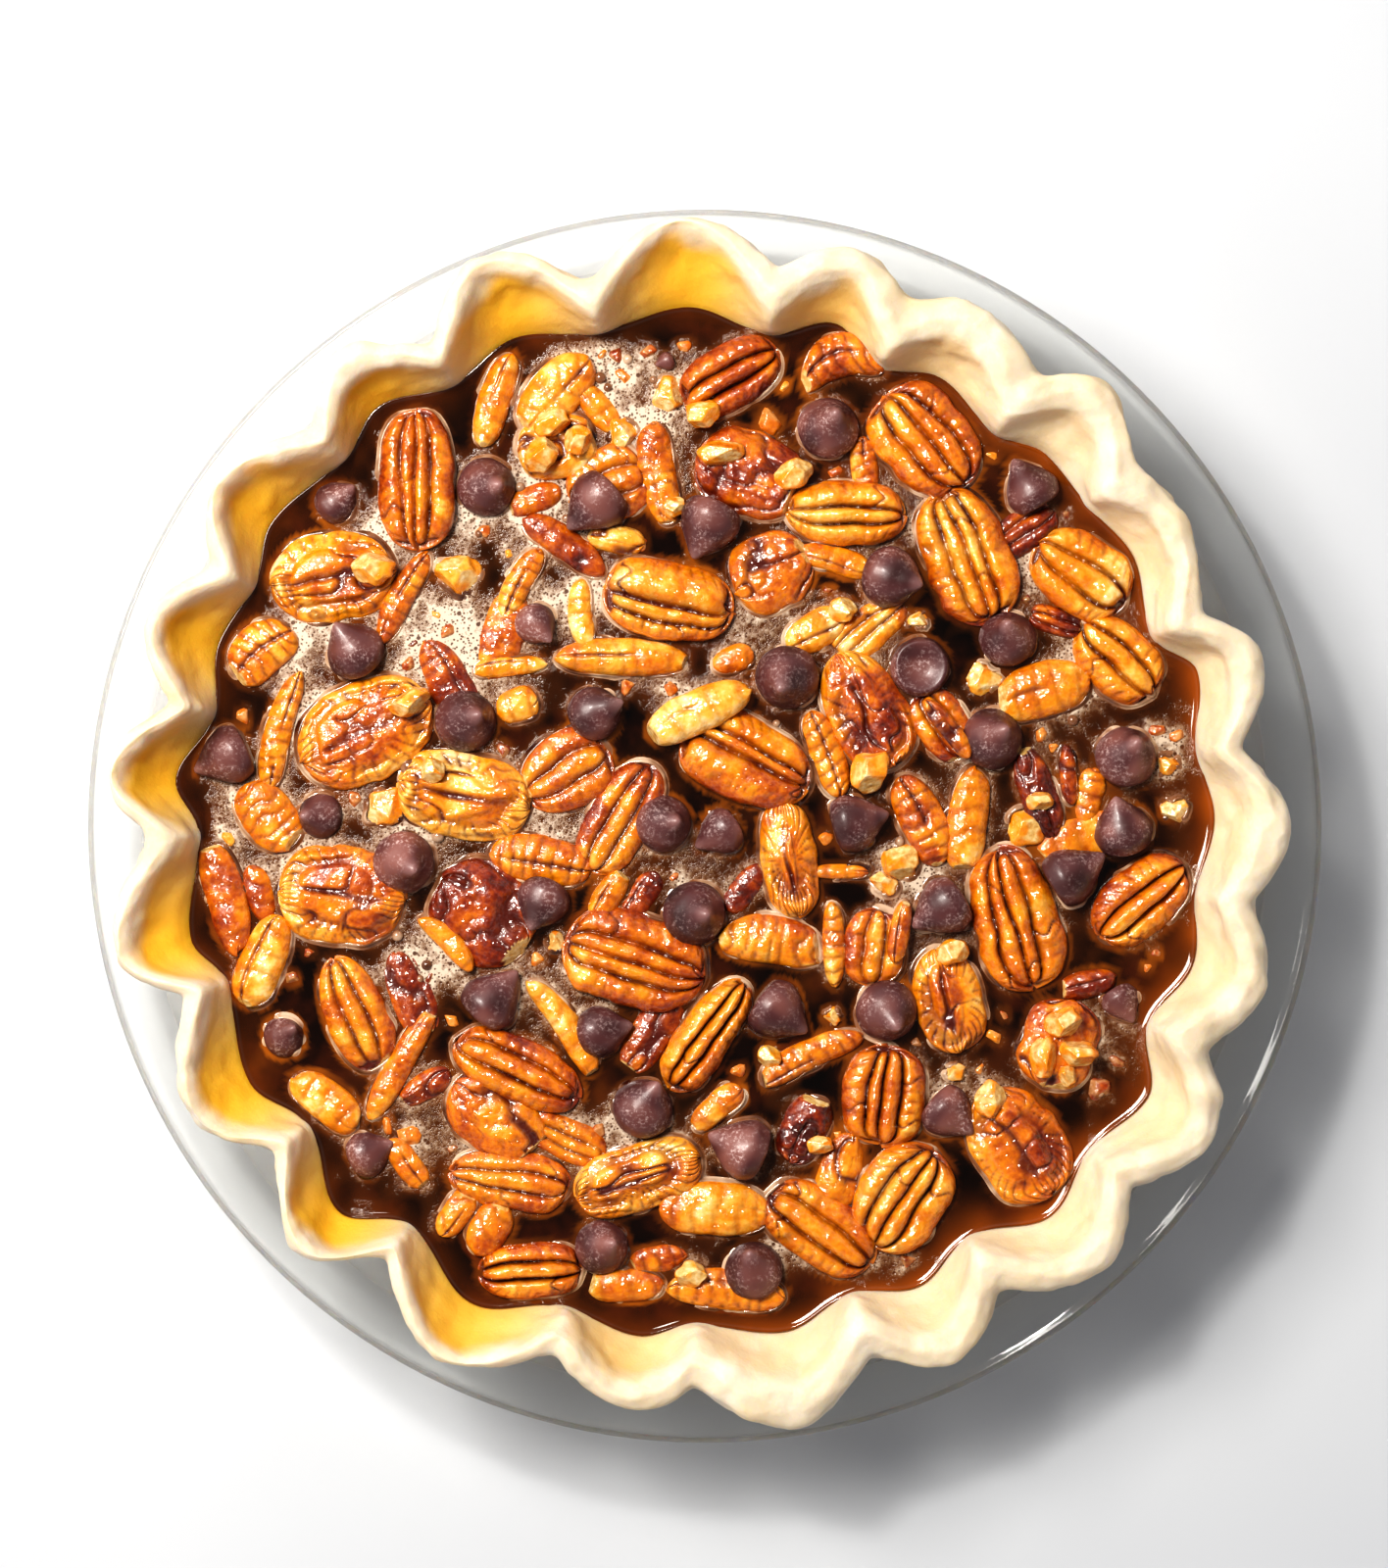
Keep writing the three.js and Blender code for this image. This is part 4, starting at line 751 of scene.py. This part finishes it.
def read_map(values, x, y):
    """The map's value at each place, blended between the four squares round it."""
    place = map_place(x, y) - 0.5
    cell = np.clip(np.floor(place).astype(int), 0, MAP_SIDE - 2)
    fx, fy = np.clip(place - cell, 0, 1)[..., 0], np.clip(place - cell, 0, 1)[..., 1]
    cx, cy = cell[..., 0], cell[..., 1]
    low = values[cy, cx] * (1 - fx) + values[cy, cx + 1] * fx
    high = values[cy + 1, cx] * (1 - fx) + values[cy + 1, cx + 1] * fx
    return low * (1 - fy) + high * fy


def bed(nuts, x, y, height):
    """Where a small piece lies: in the syrup, or on the nut below it with its underside pressed in."""
    return max(SYRUP_LEVEL, float(read_map(nuts, np.array(x), np.array(y))) + PRESSED_IN * height)


def syrup(tops, under):
    """The filling's syrup: a finely divided disc that climbs a little at the crust, closed underneath.

    Its marks say how thick the froth is, how near the crust, with painted light making the amber there
    strongest on the side across from the window, and how near the surface a nut lies.
    """
    angle = np.arange(SYRUP_ROUND) * 360 / SYRUP_ROUND
    edge = syrup_radius(angle) + 0.5
    share = (np.arange(1, SYRUP_RINGS + 1) / SYRUP_RINGS)[:, None] ** 0.78
    turn = np.radians(angle)[None]
    radius = share * edge[None]
    x, y = radius * np.cos(turn), radius * np.sin(turn)
    flat = np.stack([x, y, 0 * x], -1)
    shore = edge[None] - radius
    near = read_map(distance_map(tops > WATERLINE), x, y)
    nuts = read_map(np.clip(0.75 * np.exp(-(SYRUP_LEVEL - under) / 0.9), 0, 1), x, y)
    nuts = nuts * (0.2 + 0.8 * step(-0.15, 0.5, noise(flat, 10, 25)))
    froth = np.zeros_like(x)
    for cx, cy, across, along, thick in FROTH:
        froth = np.maximum(froth, thick * np.exp(-((x - cx) / across) ** 2 - ((y - cy) / along) ** 2))
    froth = froth + 0.25 * noise(flat, 9, 21) + 0.2 * noise(flat, 3.5, 22) + 0.25 * np.exp(-near / 0.7)
    # Painted light: the amber of thin syrup by the crust is laid on strongest on the side across from the
    # window, which is lit, and weakly on the shaded side.
    lit_side_amber = 0.25 + 0.75 * step(-0.1, 0.7, np.cos(turn - math.radians(LIT_AMBER_SIDE)))
    thin = np.exp(-(shore / 3.6) ** 1.4) * lit_side_amber * (0.75 + 0.45 * noise(flat, 6, 26))
    froth = froth + 0.3 * np.exp(-(shore / 5) ** 2) * noise(flat, 4, 27)
    z = SYRUP_LEVEL + 0.12 * noise(flat, 14, 23) + 0.05 * noise(flat, 4, 24) + 1.0 * np.exp(-shore / 0.9)
    rings = np.stack([x, y, z], -1)
    walls = [spun(out, turn[0], high) for out, high in ((edge, 30.0), *SYRUP_WALL)]
    rings = np.concatenate([rings, np.stack(walls)])
    marks = {"froth": froth, "shore": thin, "nuts": nuts}
    for name, mark in marks.items():
        marks[name] = np.vstack([mark, np.repeat(mark[-1:], len(walls), axis=0)])
    return loft(rings, (0, 0, SYRUP_LEVEL), (0, 0, SYRUP_BOTTOM), **marks)


CRUMB_SIZES = [14.0, 9.0, 5.0, 3.0, 2.0]
CRUMB_ODDS = [0.25, 0.2, 0.15, 0.2, 0.2]
CRUMB_REACH = 94.0       # how far from the middle crumbs lie
CRUMB_GAP, WIDEST_GAP = 0.36, 1.7       # the least room about a crumb, as a share of its size, and at most
CRUST_GAP = 0.7          # the least room to the crust, as a share of its size
CHUNKY = 5               # above this size a crumb is a broken ridge, and below it a chopped bit


def scattered(shown, tries=1500, seed=7):
    """Bits of pecan in the gaps: random places, each kept where the gap is wide enough for it.

    The larger ones lie low, so that only their ridges come out of the syrup.
    """
    chance = np.random.default_rng(seed)
    gap = distance_map(height_map(shown) > WATERLINE)
    kept = []
    for n in range(tries):
        angle, radius = chance.uniform(0, 2 * np.pi), CRUMB_REACH * math.sqrt(chance.uniform())
        size = chance.choice(CRUMB_SIZES, p=CRUMB_ODDS)
        x, y = radius * math.cos(angle), radius * math.sin(angle)
        shore = float(syrup_radius(np.array([math.degrees(angle)]))[0]) - radius
        if read_map(gap, x, y) < min(CRUMB_GAP * size, WIDEST_GAP) or shore < CRUST_GAP * size:
            continue
        # The redness of these bits reaches darker than the whole halves', partly as painted shade for bits
        # that lie low in the gaps.
        heading, redness = chance.uniform(0, 180), chance.uniform(0.35, 0.85)
        if size > CHUNKY:
            low = chance.uniform(0.8, 1.7)
            side = chance.choice(["back", "lobe", "rib", "crumple"])
            part = nut(x, y, size * 1.3, size * 0.62, heading, 0, SYRUP_LEVEL - 0.5, low + 0.6, side, redness,
                       CRUMB_GROOVES, CRUMB_SEED + n, fine=RIDGE_STEPS, broken=BROKEN_AT)
        else:
            part = chunk(x, y, size * 1.2, size, heading, size * 0.3, CRUMB_SEED + n, SYRUP_LEVEL - 0.25,
                         BIT_STEPS)
            part.marks["cut"] *= 0.35
            part.marks["tone"] += redness - 0.35
        kept.append(part)
        gap = np.minimum(gap, distance_map(height_map([part]) > WATERLINE, 6))
    return kept


def outline(part, bins=60):
    """A topping's outline at the syrup as radii about its middle: the furthest point in each direction."""
    points = part.points[np.abs(part.points[:, 2] - SYRUP_LEVEL - 0.1) < 0.75]
    if len(points) < 24:
        return None
    middle = (points[:, :2].max(axis=0) + points[:, :2].min(axis=0)) / 2
    away = points[:, :2] - middle
    cell = ((np.arctan2(away[:, 1], away[:, 0]) / (2 * np.pi) * bins) % bins).astype(int)
    radii = np.zeros(bins)
    np.maximum.at(radii, cell, np.hypot(away[:, 0], away[:, 1]))
    known = np.flatnonzero(radii)
    wrapped = np.concatenate([known - bins, known, known + bins])
    radii = np.interp(np.arange(bins), wrapped, np.tile(radii[known], 3))
    return middle, (np.roll(radii, 1) + 2 * radii + np.roll(radii, -1)) / 4


def collar(part, seed):
    """The syrup that climbs a topping: a thin ring round its outline whose top falls off as a bell's side."""
    found = outline(part)
    if found is None:
        return None
    middle, radii = found
    turn = (np.arange(len(radii)) + 0.5) / len(radii) * 2 * np.pi
    waves = np.sin(turn + 1.3 * seed) + 0.7 * np.sin(turn * 3 + seed) + 0.4 * np.sin(turn * 7 + 2 * seed)
    ragged = 1.4 * step(-0.5, 0.9, waves)
    steps = np.array([-0.5, -0.1, 0.1, 0.28, 0.48, 0.7, 0.95])
    out = radii[:, None] + steps[None]
    height = 0.65 * np.exp(-np.clip(steps, 0, None) / 0.34)[None] * ragged[:, None] - 0.16
    top = spun(out, turn[:, None], SYRUP_LEVEL + height)
    under = spun(out[:, [-1, 0]], turn[:, None], SYRUP_LEVEL - 0.6)
    return hoop(np.concatenate([top, under], axis=1) + (*middle, 0))


def dome(x, y, diameter, rise=0.5, rings=6, around=20):
    """A bubble: a low dome with its foot just under the syrup."""
    lift = np.linspace(0, np.pi / 2, rings + 1)[:-1][:, None]
    turn = np.linspace(0, 2 * np.pi, around, endpoint=False)[None]
    radius, foot = diameter / 2, SYRUP_LEVEL - 0.1
    points = spun(radius * np.cos(lift), turn, foot + diameter * rise * np.sin(lift)) + (x, y, 0)
    return loft(points, (x, y, SYRUP_LEVEL - 0.3), (x, y, foot + diameter * rise))


# ---- Materials ----
def shade(hex_colour):
    """An sRGB hex colour as linear red, green, blue and 1."""
    parts = [int(hex_colour[i:i + 2], 16) / 255 for i in (1, 3, 5)]
    return tuple(c / 12.92 if c <= 0.04045 else ((c + 0.055) / 1.055) ** 2.4 for c in parts) + (1.0,)


def add(tree, kind, inputs=None, **settings):
    """Adds a node, sets its properties, and fills each numbered or named input with a value or a link."""
    node = tree.nodes.new(kind)
    for name, value in settings.items():
        setattr(node, name, value)
    for key, value in (inputs or {}).items():
        if isinstance(value, bpy.types.NodeSocket):
            tree.links.new(value, node.inputs[key])
        else:
            node.inputs[key].default_value = value
    return node


def ramp(tree, factor, stops):
    """A colour ramp over (place, hex colour) stops."""
    node = add(tree, "ShaderNodeValToRGB", {0: factor})
    elements = node.color_ramp.elements
    elements[0].position, elements[0].color = stops[0][0], shade(stops[0][1])
    elements[1].position, elements[1].color = stops[-1][0], shade(stops[-1][1])
    for place, colour in stops[1:-1]:
        elements.new(place).color = shade(colour)
    return node.outputs[0]


def finish_of(name):
    """A new material of that name, its nodes and its object coordinates."""
    material = bpy.data.materials.new(name)
    material.use_nodes = True
    material.node_tree.nodes.clear()
    tree = material.node_tree
    return material, tree, add(tree, "ShaderNodeTexCoord").outputs["Object"]


def close(material, inputs):
    """Ends a material with one principled surface that has these inputs."""
    tree = material.node_tree
    shader = add(tree, "ShaderNodeBsdfPrincipled", inputs)
    add(tree, "ShaderNodeOutputMaterial", {0: shader.outputs[0]})
    return material


def clouds(tree, coords, size, detail, roughness=0.5):
    """Smooth noise about 0.5 whose humps measure that many millimetres."""
    inputs = {"Vector": coords, "Scale": 1 / (size * MM), "Detail": detail, "Roughness": roughness}
    return add(tree, "ShaderNodeTexNoise", inputs).outputs[0]


def arithmetic(tree, operation, a, b):
    """Two numbers added or multiplied."""
    return add(tree, "ShaderNodeMath", {0: a, 1: b}, operation=operation).outputs[0]


def rescaled(tree, value, given, wanted=(0.0, 1.0)):
    """A number moved from one range to another, and held within it."""
    inputs = {"Value": value, "From Min": given[0], "From Max": given[1],
              "To Min": wanted[0], "To Max": wanted[1]}
    return add(tree, "ShaderNodeMapRange", inputs).outputs[0]


def bumped(tree, height, strength, distance):
    """A bumped normal from a height, with the depth in metres."""
    inputs = {"Strength": strength, "Distance": distance, "Height": height}
    return add(tree, "ShaderNodeBump", inputs).outputs[0]


def marks_of(tree, *names):
    """The numbers that the points carry under these names."""
    return [add(tree, "ShaderNodeAttribute", attribute_name=name).outputs["Fac"] for name in names]


def blend(tree, factor, a, b, kind="MIX"):
    """Two colours mixed by a factor, or multiplied."""
    return add(tree, "ShaderNodeMix", {0: factor, 6: a, 7: b}, data_type="RGBA", blend_type=kind).outputs[2]


def pores(tree, coords, size, stops):
    """Cells that measure that many millimetres, coloured by how far each place is from a cell's middle."""
    inputs = {"Vector": coords, "Scale": 1 / (size * MM), "Randomness": 1.0}
    return ramp(tree, add(tree, "ShaderNodeTexVoronoi", inputs).outputs["Distance"], stops)


def pressed_glass():
    """Soda-lime glass, pressed in a mould: clear, with a faint grey-green edge and a fire-polished face.

    It is thin, so most of the light goes straight through it.
    """
    material, tree, coords = finish_of("pressed_soda_lime_glass")
    swirl = clouds(tree, coords, 12, 1.0)
    bump = bumped(tree, swirl, 0.12, 0.0006)
    return close(material, {
        "Base Color": shade("#F4F4EE"), "Roughness": 0.02, "IOR": 1.52, "Transmission Weight": 1.0,
        "Alpha": 0.5, "Normal": bump})


def raw_pastry():
    """Raw butter pastry, rolled and pinched by hand: matte and floury, and light glows through it yellow. The
    deep yellow in the scoops on the window's side, and in a band under the ridge outside, is painted shade.
    """
    material, tree, coords = finish_of("raw_butter_pastry_rolled")
    hollow, = marks_of(tree, "hollow")
    cloud = clouds(tree, coords, 9, 3.0)
    colour = ramp(tree, cloud, [(0.3, "#D0C0A6"), (0.55, "#D7C9B3"), (0.75, "#DDD2C0")])
    # painted shade: the deep yellow laid on the shaded scoops and under the ridge
    deep = arithmetic(tree, "MULTIPLY", hollow, 0.97)
    colour = blend(tree, deep, colour, shade("#E0AE1C"))
    grain = clouds(tree, coords, 0.9, 3.0)
    lump = clouds(tree, coords, 3.5, 2.0)
    height = arithmetic(tree, "ADD", grain, lump)
    bump = bumped(tree, height, 0.3, 0.0004)
    return close(material, {
        "Base Color": colour, "Roughness": 0.6, "Subsurface Weight": 0.5,
        "Subsurface Radius": (1.0, 0.7, 0.25), "Subsurface Scale": 0.005, "Normal": bump})


def syrup_and_froth():
    """Corn syrup and sugar beaten with egg: deep brown and glossy, amber where thin by the crust and there
    painted strongest on the lit side as painted light, with a froth of bubbles.

    The bubbles are drawn three times as wide as the finest real ones, so that they show.
    """
    material, tree, coords = finish_of("brown_sugar_syrup_beaten")
    froth, shore, nuts = marks_of(tree, "froth", "shore", "nuts")
    cloud = clouds(tree, coords, 11, 3.0)
    deep = ramp(tree, cloud, [(0.34, "#0A0300"), (0.5, "#1A0802"), (0.68, "#401A06")])
    deep = blend(tree, nuts, deep, ramp(tree, cloud, [(0.35, "#5C2807"), (0.65, "#A45E12")]))
    # partly painted light: the amber by the crust, strongest on the side across from the window
    deep = blend(tree, shore, deep, shade("#984E0C"))
    fine_pore = pores(tree, coords, 0.62, [(0.0, "#000000"), (0.2, "#404040"), (0.4, "#FFFFFF")])
    large_pore = pores(tree, coords, 2.4, [(0.0, "#000000"), (0.14, "#101010"), (0.2, "#FFFFFF")])
    walls = blend(tree, 1.0, fine_pore, large_pore, "MULTIPLY")
    ragged = clouds(tree, coords, 1.6, 5.0, 0.65)
    amount = arithmetic(tree, "ADD", froth, ragged)
    cover = rescaled(tree, amount, (0.95, 1.5))
    thick = ramp(tree, cover, [(0.0, "#603A1A"), (0.4, "#937356"), (1.0, "#CFBCA8")])
    pale = blend(tree, walls, shade("#54331C"), thick)
    haze = rescaled(tree, froth, (0.15, 0.7), (0.0, 0.78))
    deep = blend(tree, haze, deep, shade("#643612"))
    colour = blend(tree, cover, deep, pale)
    gloss = rescaled(tree, cover, (0.0, 1.0), (0.05, 0.35))
    lift = arithmetic(tree, "MULTIPLY", walls, cover)
    bump = bumped(tree, lift, 0.5, 0.0004)
    return close(material, {
        "Base Color": colour, "Roughness": gloss, "IOR": 1.48, "Coat Weight": 0.5, "Coat Roughness": 0.04,
        "Normal": bump})


def clear_syrup():
    """The same syrup where it climbs a nut or makes a bubble: thin, amber-brown and as smooth as glass."""
    material, tree, coords = finish_of("brown_sugar_syrup_film")
    cloud = clouds(tree, coords, 7, 2.0)
    colour = ramp(tree, cloud, [(0.3, "#3A160A"), (0.5, "#8A5E40"), (0.65, "#C8AC92")])
    return close(material, {
        "Base Color": colour, "Roughness": 0.12, "IOR": 1.48, "Coat Weight": 1.0, "Coat Roughness": 0.03})


def wet_pecan():
    """Pecan skin wet with syrup: golden orange, dark red-brown in its furrows (partly its own colour, partly
    painted shade), cream where it's cut.
    """
    material, tree, coords = finish_of("pecan_skin_wet_with_syrup")
    tone, furrow, cut = marks_of(tree, "tone", "furrow", "cut")
    fleck = clouds(tree, coords, 1.2, 4.0)
    shift = rescaled(tree, fleck, (0.3, 0.7), (0.09, -0.09))
    place = arithmetic(tree, "ADD", tone, shift)
    skin = ramp(tree, place, [(0.08, "#F4D498"), (0.24, "#EEB24C"), (0.4, "#E49012"), (0.55, "#D2760A"),
                              (0.7, "#AC4E07"), (0.85, "#7E2806"), (1.0, "#461004")])
    # partly painted shade: the furrows darkened to red-brown
    skin = blend(tree, furrow, skin, shade("#561806"))
    flesh = ramp(tree, fleck, [(0.3, "#C48E44"), (0.5, "#DDB672"), (0.7, "#EDD6A6")])
    colour = blend(tree, cut, skin, flesh)
    bump = bumped(tree, fleck, 0.5, 0.0005)
    drops = clouds(tree, coords, 1.4, 1.0)
    film = bumped(tree, drops, 0.95, 0.0007)
    return close(material, {
        "Base Color": colour, "Roughness": 0.36, "IOR": 1.47, "Coat Weight": 1.0, "Coat Roughness": 0.035,
        "Coat IOR": 1.6, "Normal": bump, "Coat Normal": film})


def bloomed_chocolate():
    """Dark chocolate, dropped from a nozzle and rubbed in its bag: satin, with a mauve bloom, scuffs, and a
    painted highlight paling its point.
    """
    material, tree, coords = finish_of("dark_chocolate_with_bloom")
    bloom, point = marks_of(tree, "bloom", "point")
    scuff = clouds(tree, coords, 0.7, 5.0, 0.7)
    cloud = clouds(tree, coords, 4, 2.0)
    body = ramp(tree, bloom, [(0.15, "#311818"), (0.5, "#573030"), (0.85, "#80524B")])
    specks = rescaled(tree, scuff, (0.5, 0.66))
    patchy = rescaled(tree, cloud, (0.4, 0.65))
    rubbed = arithmetic(tree, "MULTIPLY", specks, bloom)
    dusted = arithmetic(tree, "MULTIPLY", rubbed, patchy)
    colour = blend(tree, dusted, body, shade("#D6BEBA"))
    # painted highlight: the point paled, where it would catch the light
    tip_highlight = rescaled(tree, point, (0.55, 1.0), (0.0, 0.6))
    colour = blend(tree, tip_highlight, colour, shade("#A07A76"))
    gloss = rescaled(tree, dusted, (0.0, 1.0), (0.46, 0.8))
    bump = bumped(tree, scuff, 0.3, 0.0002)
    return close(material, {
        "Base Color": colour, "Roughness": gloss, "IOR": 1.5, "Coat Weight": 0.3, "Coat Roughness": 0.2,
        "Normal": bump})


def painted_table():
    """A plain matte white table top, with the faintest cloudiness in the paint."""
    material, tree, coords = finish_of("matte_white_paint")
    cloud = clouds(tree, coords, 180, 2.0)
    colour = ramp(tree, cloud, [(0.35, "#C8CACE"), (0.65, "#CFD1D4")])
    return close(material, {"Base Color": colour, "Roughness": 0.7})


# ---- Building the pie ----
DISH_STEPS, DISH_ROUND, DISH_ROUNDING = 580, 160, 3


def dish():
    """The glass dish: its section, rounded at the corners without losing width, turned about the axis."""
    section = smooth_line(DISH_SECTION, DISH_STEPS, DISH_ROUNDING)[1:-1]
    section[:, 0] *= DISH_SECTION[:, 0].max() / section[:, 0].max()
    turn = np.linspace(0, 2 * np.pi, DISH_ROUND, endpoint=False)[None]
    inside = DISH_SECTION[-1, 1]
    return loft(spun(section[:, :1], turn, section[:, 1:]), (0, 0, 0), (0, 0, inside))


def whole_toppings(pecan, chocolate):
    """The whole halves and the chips, each a piece of its own."""
    halves, drops = [], []
    for i, (x, y, length, width, heading, roll, lift, side, redness, grooves) in enumerate(PECANS, 1):
        height = BACK_HEIGHT if side == "back" else FACE_HEIGHT
        halves.append(nut(x, y, length, width, heading, roll, SYRUP_LEVEL + lift, height, side, redness,
                          grooves, i))
        piece(f"pecan_half_{i:02d}", halves[-1:], pecan, [f"pecan_{i:02d}"])
    for i, row in enumerate(CHIPS, 1):
        drops.append(chip(*row, i))
        piece(f"chocolate_chip_{i:02d}", drops[-1:], chocolate, [f"chip_{i:02d}"])
    return halves, drops


def small_toppings(halves):
    """Broken halves in the syrup, strips and then chunks bedded on what lies below them, and sunk chips."""
    broken = [nut(x, y, length, width, heading, 0, SYRUP_LEVEL, height, side, redness, BROKEN_GROOVES,
                  BROKEN_SEED + i, bend, BROKEN_STEPS, BROKEN_AT)
              for i, (x, y, length, width, heading, height, side, redness, bend) in enumerate(BROKEN_HALVES)]
    nuts = height_map(halves + broken)
    strips = [nut(x, y, length, width, heading, 0, bed(nuts, x, y, height), height, side, redness, None,
                  STRIP_SEED + i, bend, STRIP_STEPS, STRIP_BROKEN_AT)
              for i, (x, y, length, width, heading, height, bend, side, redness) in enumerate(STRIPS)]
    nuts = height_map(halves + broken + strips)
    chunks = [chunk(*row, CHUNK_SEED + i, bed(nuts, row[0], row[1], row[5])) for i, row in enumerate(CHUNKS)]
    sunk = [chip(*row, SUNK_SEED + i) for i, row in enumerate(SUNK_CHIPS)]
    return broken, strips, chunks, sunk


def build():
    """Makes every piece: the dish, the crust, the toppings, and last the syrup round them."""
    pecan, chocolate, film = wet_pecan(), bloomed_chocolate(), clear_syrup()
    piece("glass_dish", [dish()], pressed_glass(), ["dish"])
    piece("fluted_crust", [crust()], raw_pastry(), ["crust"])
    halves, drops = whole_toppings(pecan, chocolate)
    broken, strips, chunks, sunk = small_toppings(halves)
    shown = halves + drops + broken + strips + chunks + sunk
    crumbs = scattered(shown)
    ghosts = [nut(x, y, length, width, heading, 0, SYRUP_LEVEL - depth - UNDER_HEIGHT, UNDER_HEIGHT, "back",
                  0.5, UNDER_GROOVES, UNDER_SEED + i, fine=UNDER_STEPS)
              for i, (x, y, length, width, heading, depth) in enumerate(UNDER)]
    tops = height_map(shown + crumbs)
    under = height_map(shown + crumbs + ghosts)
    for name, parts in (("pecan_crumbs", crumbs), ("broken_pecan_halves", broken), ("pecan_strips", strips),
                        ("chopped_pecan", chunks)):
        piece(name, parts, pecan)
    piece("sunk_chips", sunk, chocolate)
    piece("syrup", [syrup(tops, under)], syrup_and_froth(), ["filling"])
    collars = [collar(part, i) for i, part in enumerate(shown)]
    piece("syrup_collars", [part for part in collars if part], film)
    piece("bubbles", [dome(*bubble) for bubble in BUBBLES], film)


build()

# ---- The setting ----
FLOOR_HALF, FLOOR_HEIGHT = 1.6, -0.0002   # half its side, and its height just under the dish, in metres
FLOOR_CORNERS = ((-1, -1), (1, -1), (1, 1), (-1, 1))
floor_mesh = bpy.data.meshes.new("table_top")
floor_points = [(x * FLOOR_HALF, y * FLOOR_HALF, FLOOR_HEIGHT) for x, y in FLOOR_CORNERS]
floor_mesh.from_pydata(floor_points, [], [(0, 1, 2, 3)])
floor_mesh.materials.append(painted_table())
floor = bpy.data.objects.new("table_top", floor_mesh)
bpy.context.scene.collection.objects.link(floor)


def window(name, azimuth, elevation, distance, size, power, colour):
    """A square soft light at that azimuth and elevation, facing the pie."""
    light = bpy.data.lights.new(name, "AREA")
    light.shape = "RECTANGLE"
    light.size, light.size_y = size
    light.energy, light.color = power, shade(colour)[:3]
    thing = bpy.data.objects.new(name, light)
    a, e = math.radians(azimuth), math.radians(elevation)
    flat = distance * math.cos(e)
    thing.location = (flat * math.cos(a), flat * math.sin(a), distance * math.sin(e))
    thing.rotation_euler = (math.pi / 2 - e, 0, a + math.pi / 2)
    bpy.context.scene.collection.objects.link(thing)


window("left_window", 143, 58, 0.75, (0.32, 0.32), 4.9, "#FFFBF4")
window("high_pane", 126, 62, 0.75, (0.07, 0.07), 1.6, "#FFFDF8")


WINDOW_WAY = (-0.88, 0.47, 0.0)   # from the pie towards the window


def daylit_room():
    """A pale room: brightest low down on the window's side, dimmer across from it, and dim overhead."""
    world = bpy.data.worlds.new("room")
    world.use_nodes = True
    tree = world.node_tree
    towards = add(tree, "ShaderNodeTexCoord").outputs["Generated"]
    side = add(tree, "ShaderNodeVectorMath", {0: towards, 1: WINDOW_WAY}, operation="DOT_PRODUCT")
    level = rescaled(tree, side.outputs["Value"], (-1.0, 1.0), (0.75, 1.2))
    height = add(tree, "ShaderNodeSeparateXYZ", {0: towards}).outputs["Z"]
    dimming = rescaled(tree, height, (0.0, 0.8), (1.0, 0.13))
    strength = arithmetic(tree, "MULTIPLY", level, dimming)
    background = tree.nodes["Background"]
    background.inputs[0].default_value = shade("#FBFBFF")
    tree.links.new(strength, background.inputs[1])
    bpy.context.scene.world = world


daylit_room()

# ---- The camera: straight down over the dish's rim, heights in millimetres ----
RIM_HEIGHT = 32.0
CAMERA_HEIGHT = 750.0
MM_PER_STEP = 0.1908     # millimetres at the rim for each step up the picture
PICTURE_STEPS = 1600
VIEW_CENTRE = (-2.1, 8.2)
camera_data = bpy.data.cameras.new("camera")
camera_data.sensor_fit = "VERTICAL"
camera_data.sensor_height = 24
camera_data.lens = camera_data.sensor_height * CAMERA_HEIGHT / (MM_PER_STEP * PICTURE_STEPS)
camera_data.clip_start, camera_data.clip_end = 0.01, 20
camera = bpy.data.objects.new("camera", camera_data)
camera.location = (VIEW_CENTRE[0] * MM, VIEW_CENTRE[1] * MM, (RIM_HEIGHT + CAMERA_HEIGHT) * MM)
bpy.context.scene.collection.objects.link(camera)
bpy.context.scene.camera = camera
bpy.context.scene.view_settings.view_transform = "Standard"
bpy.context.scene.view_settings.look = "High Contrast"
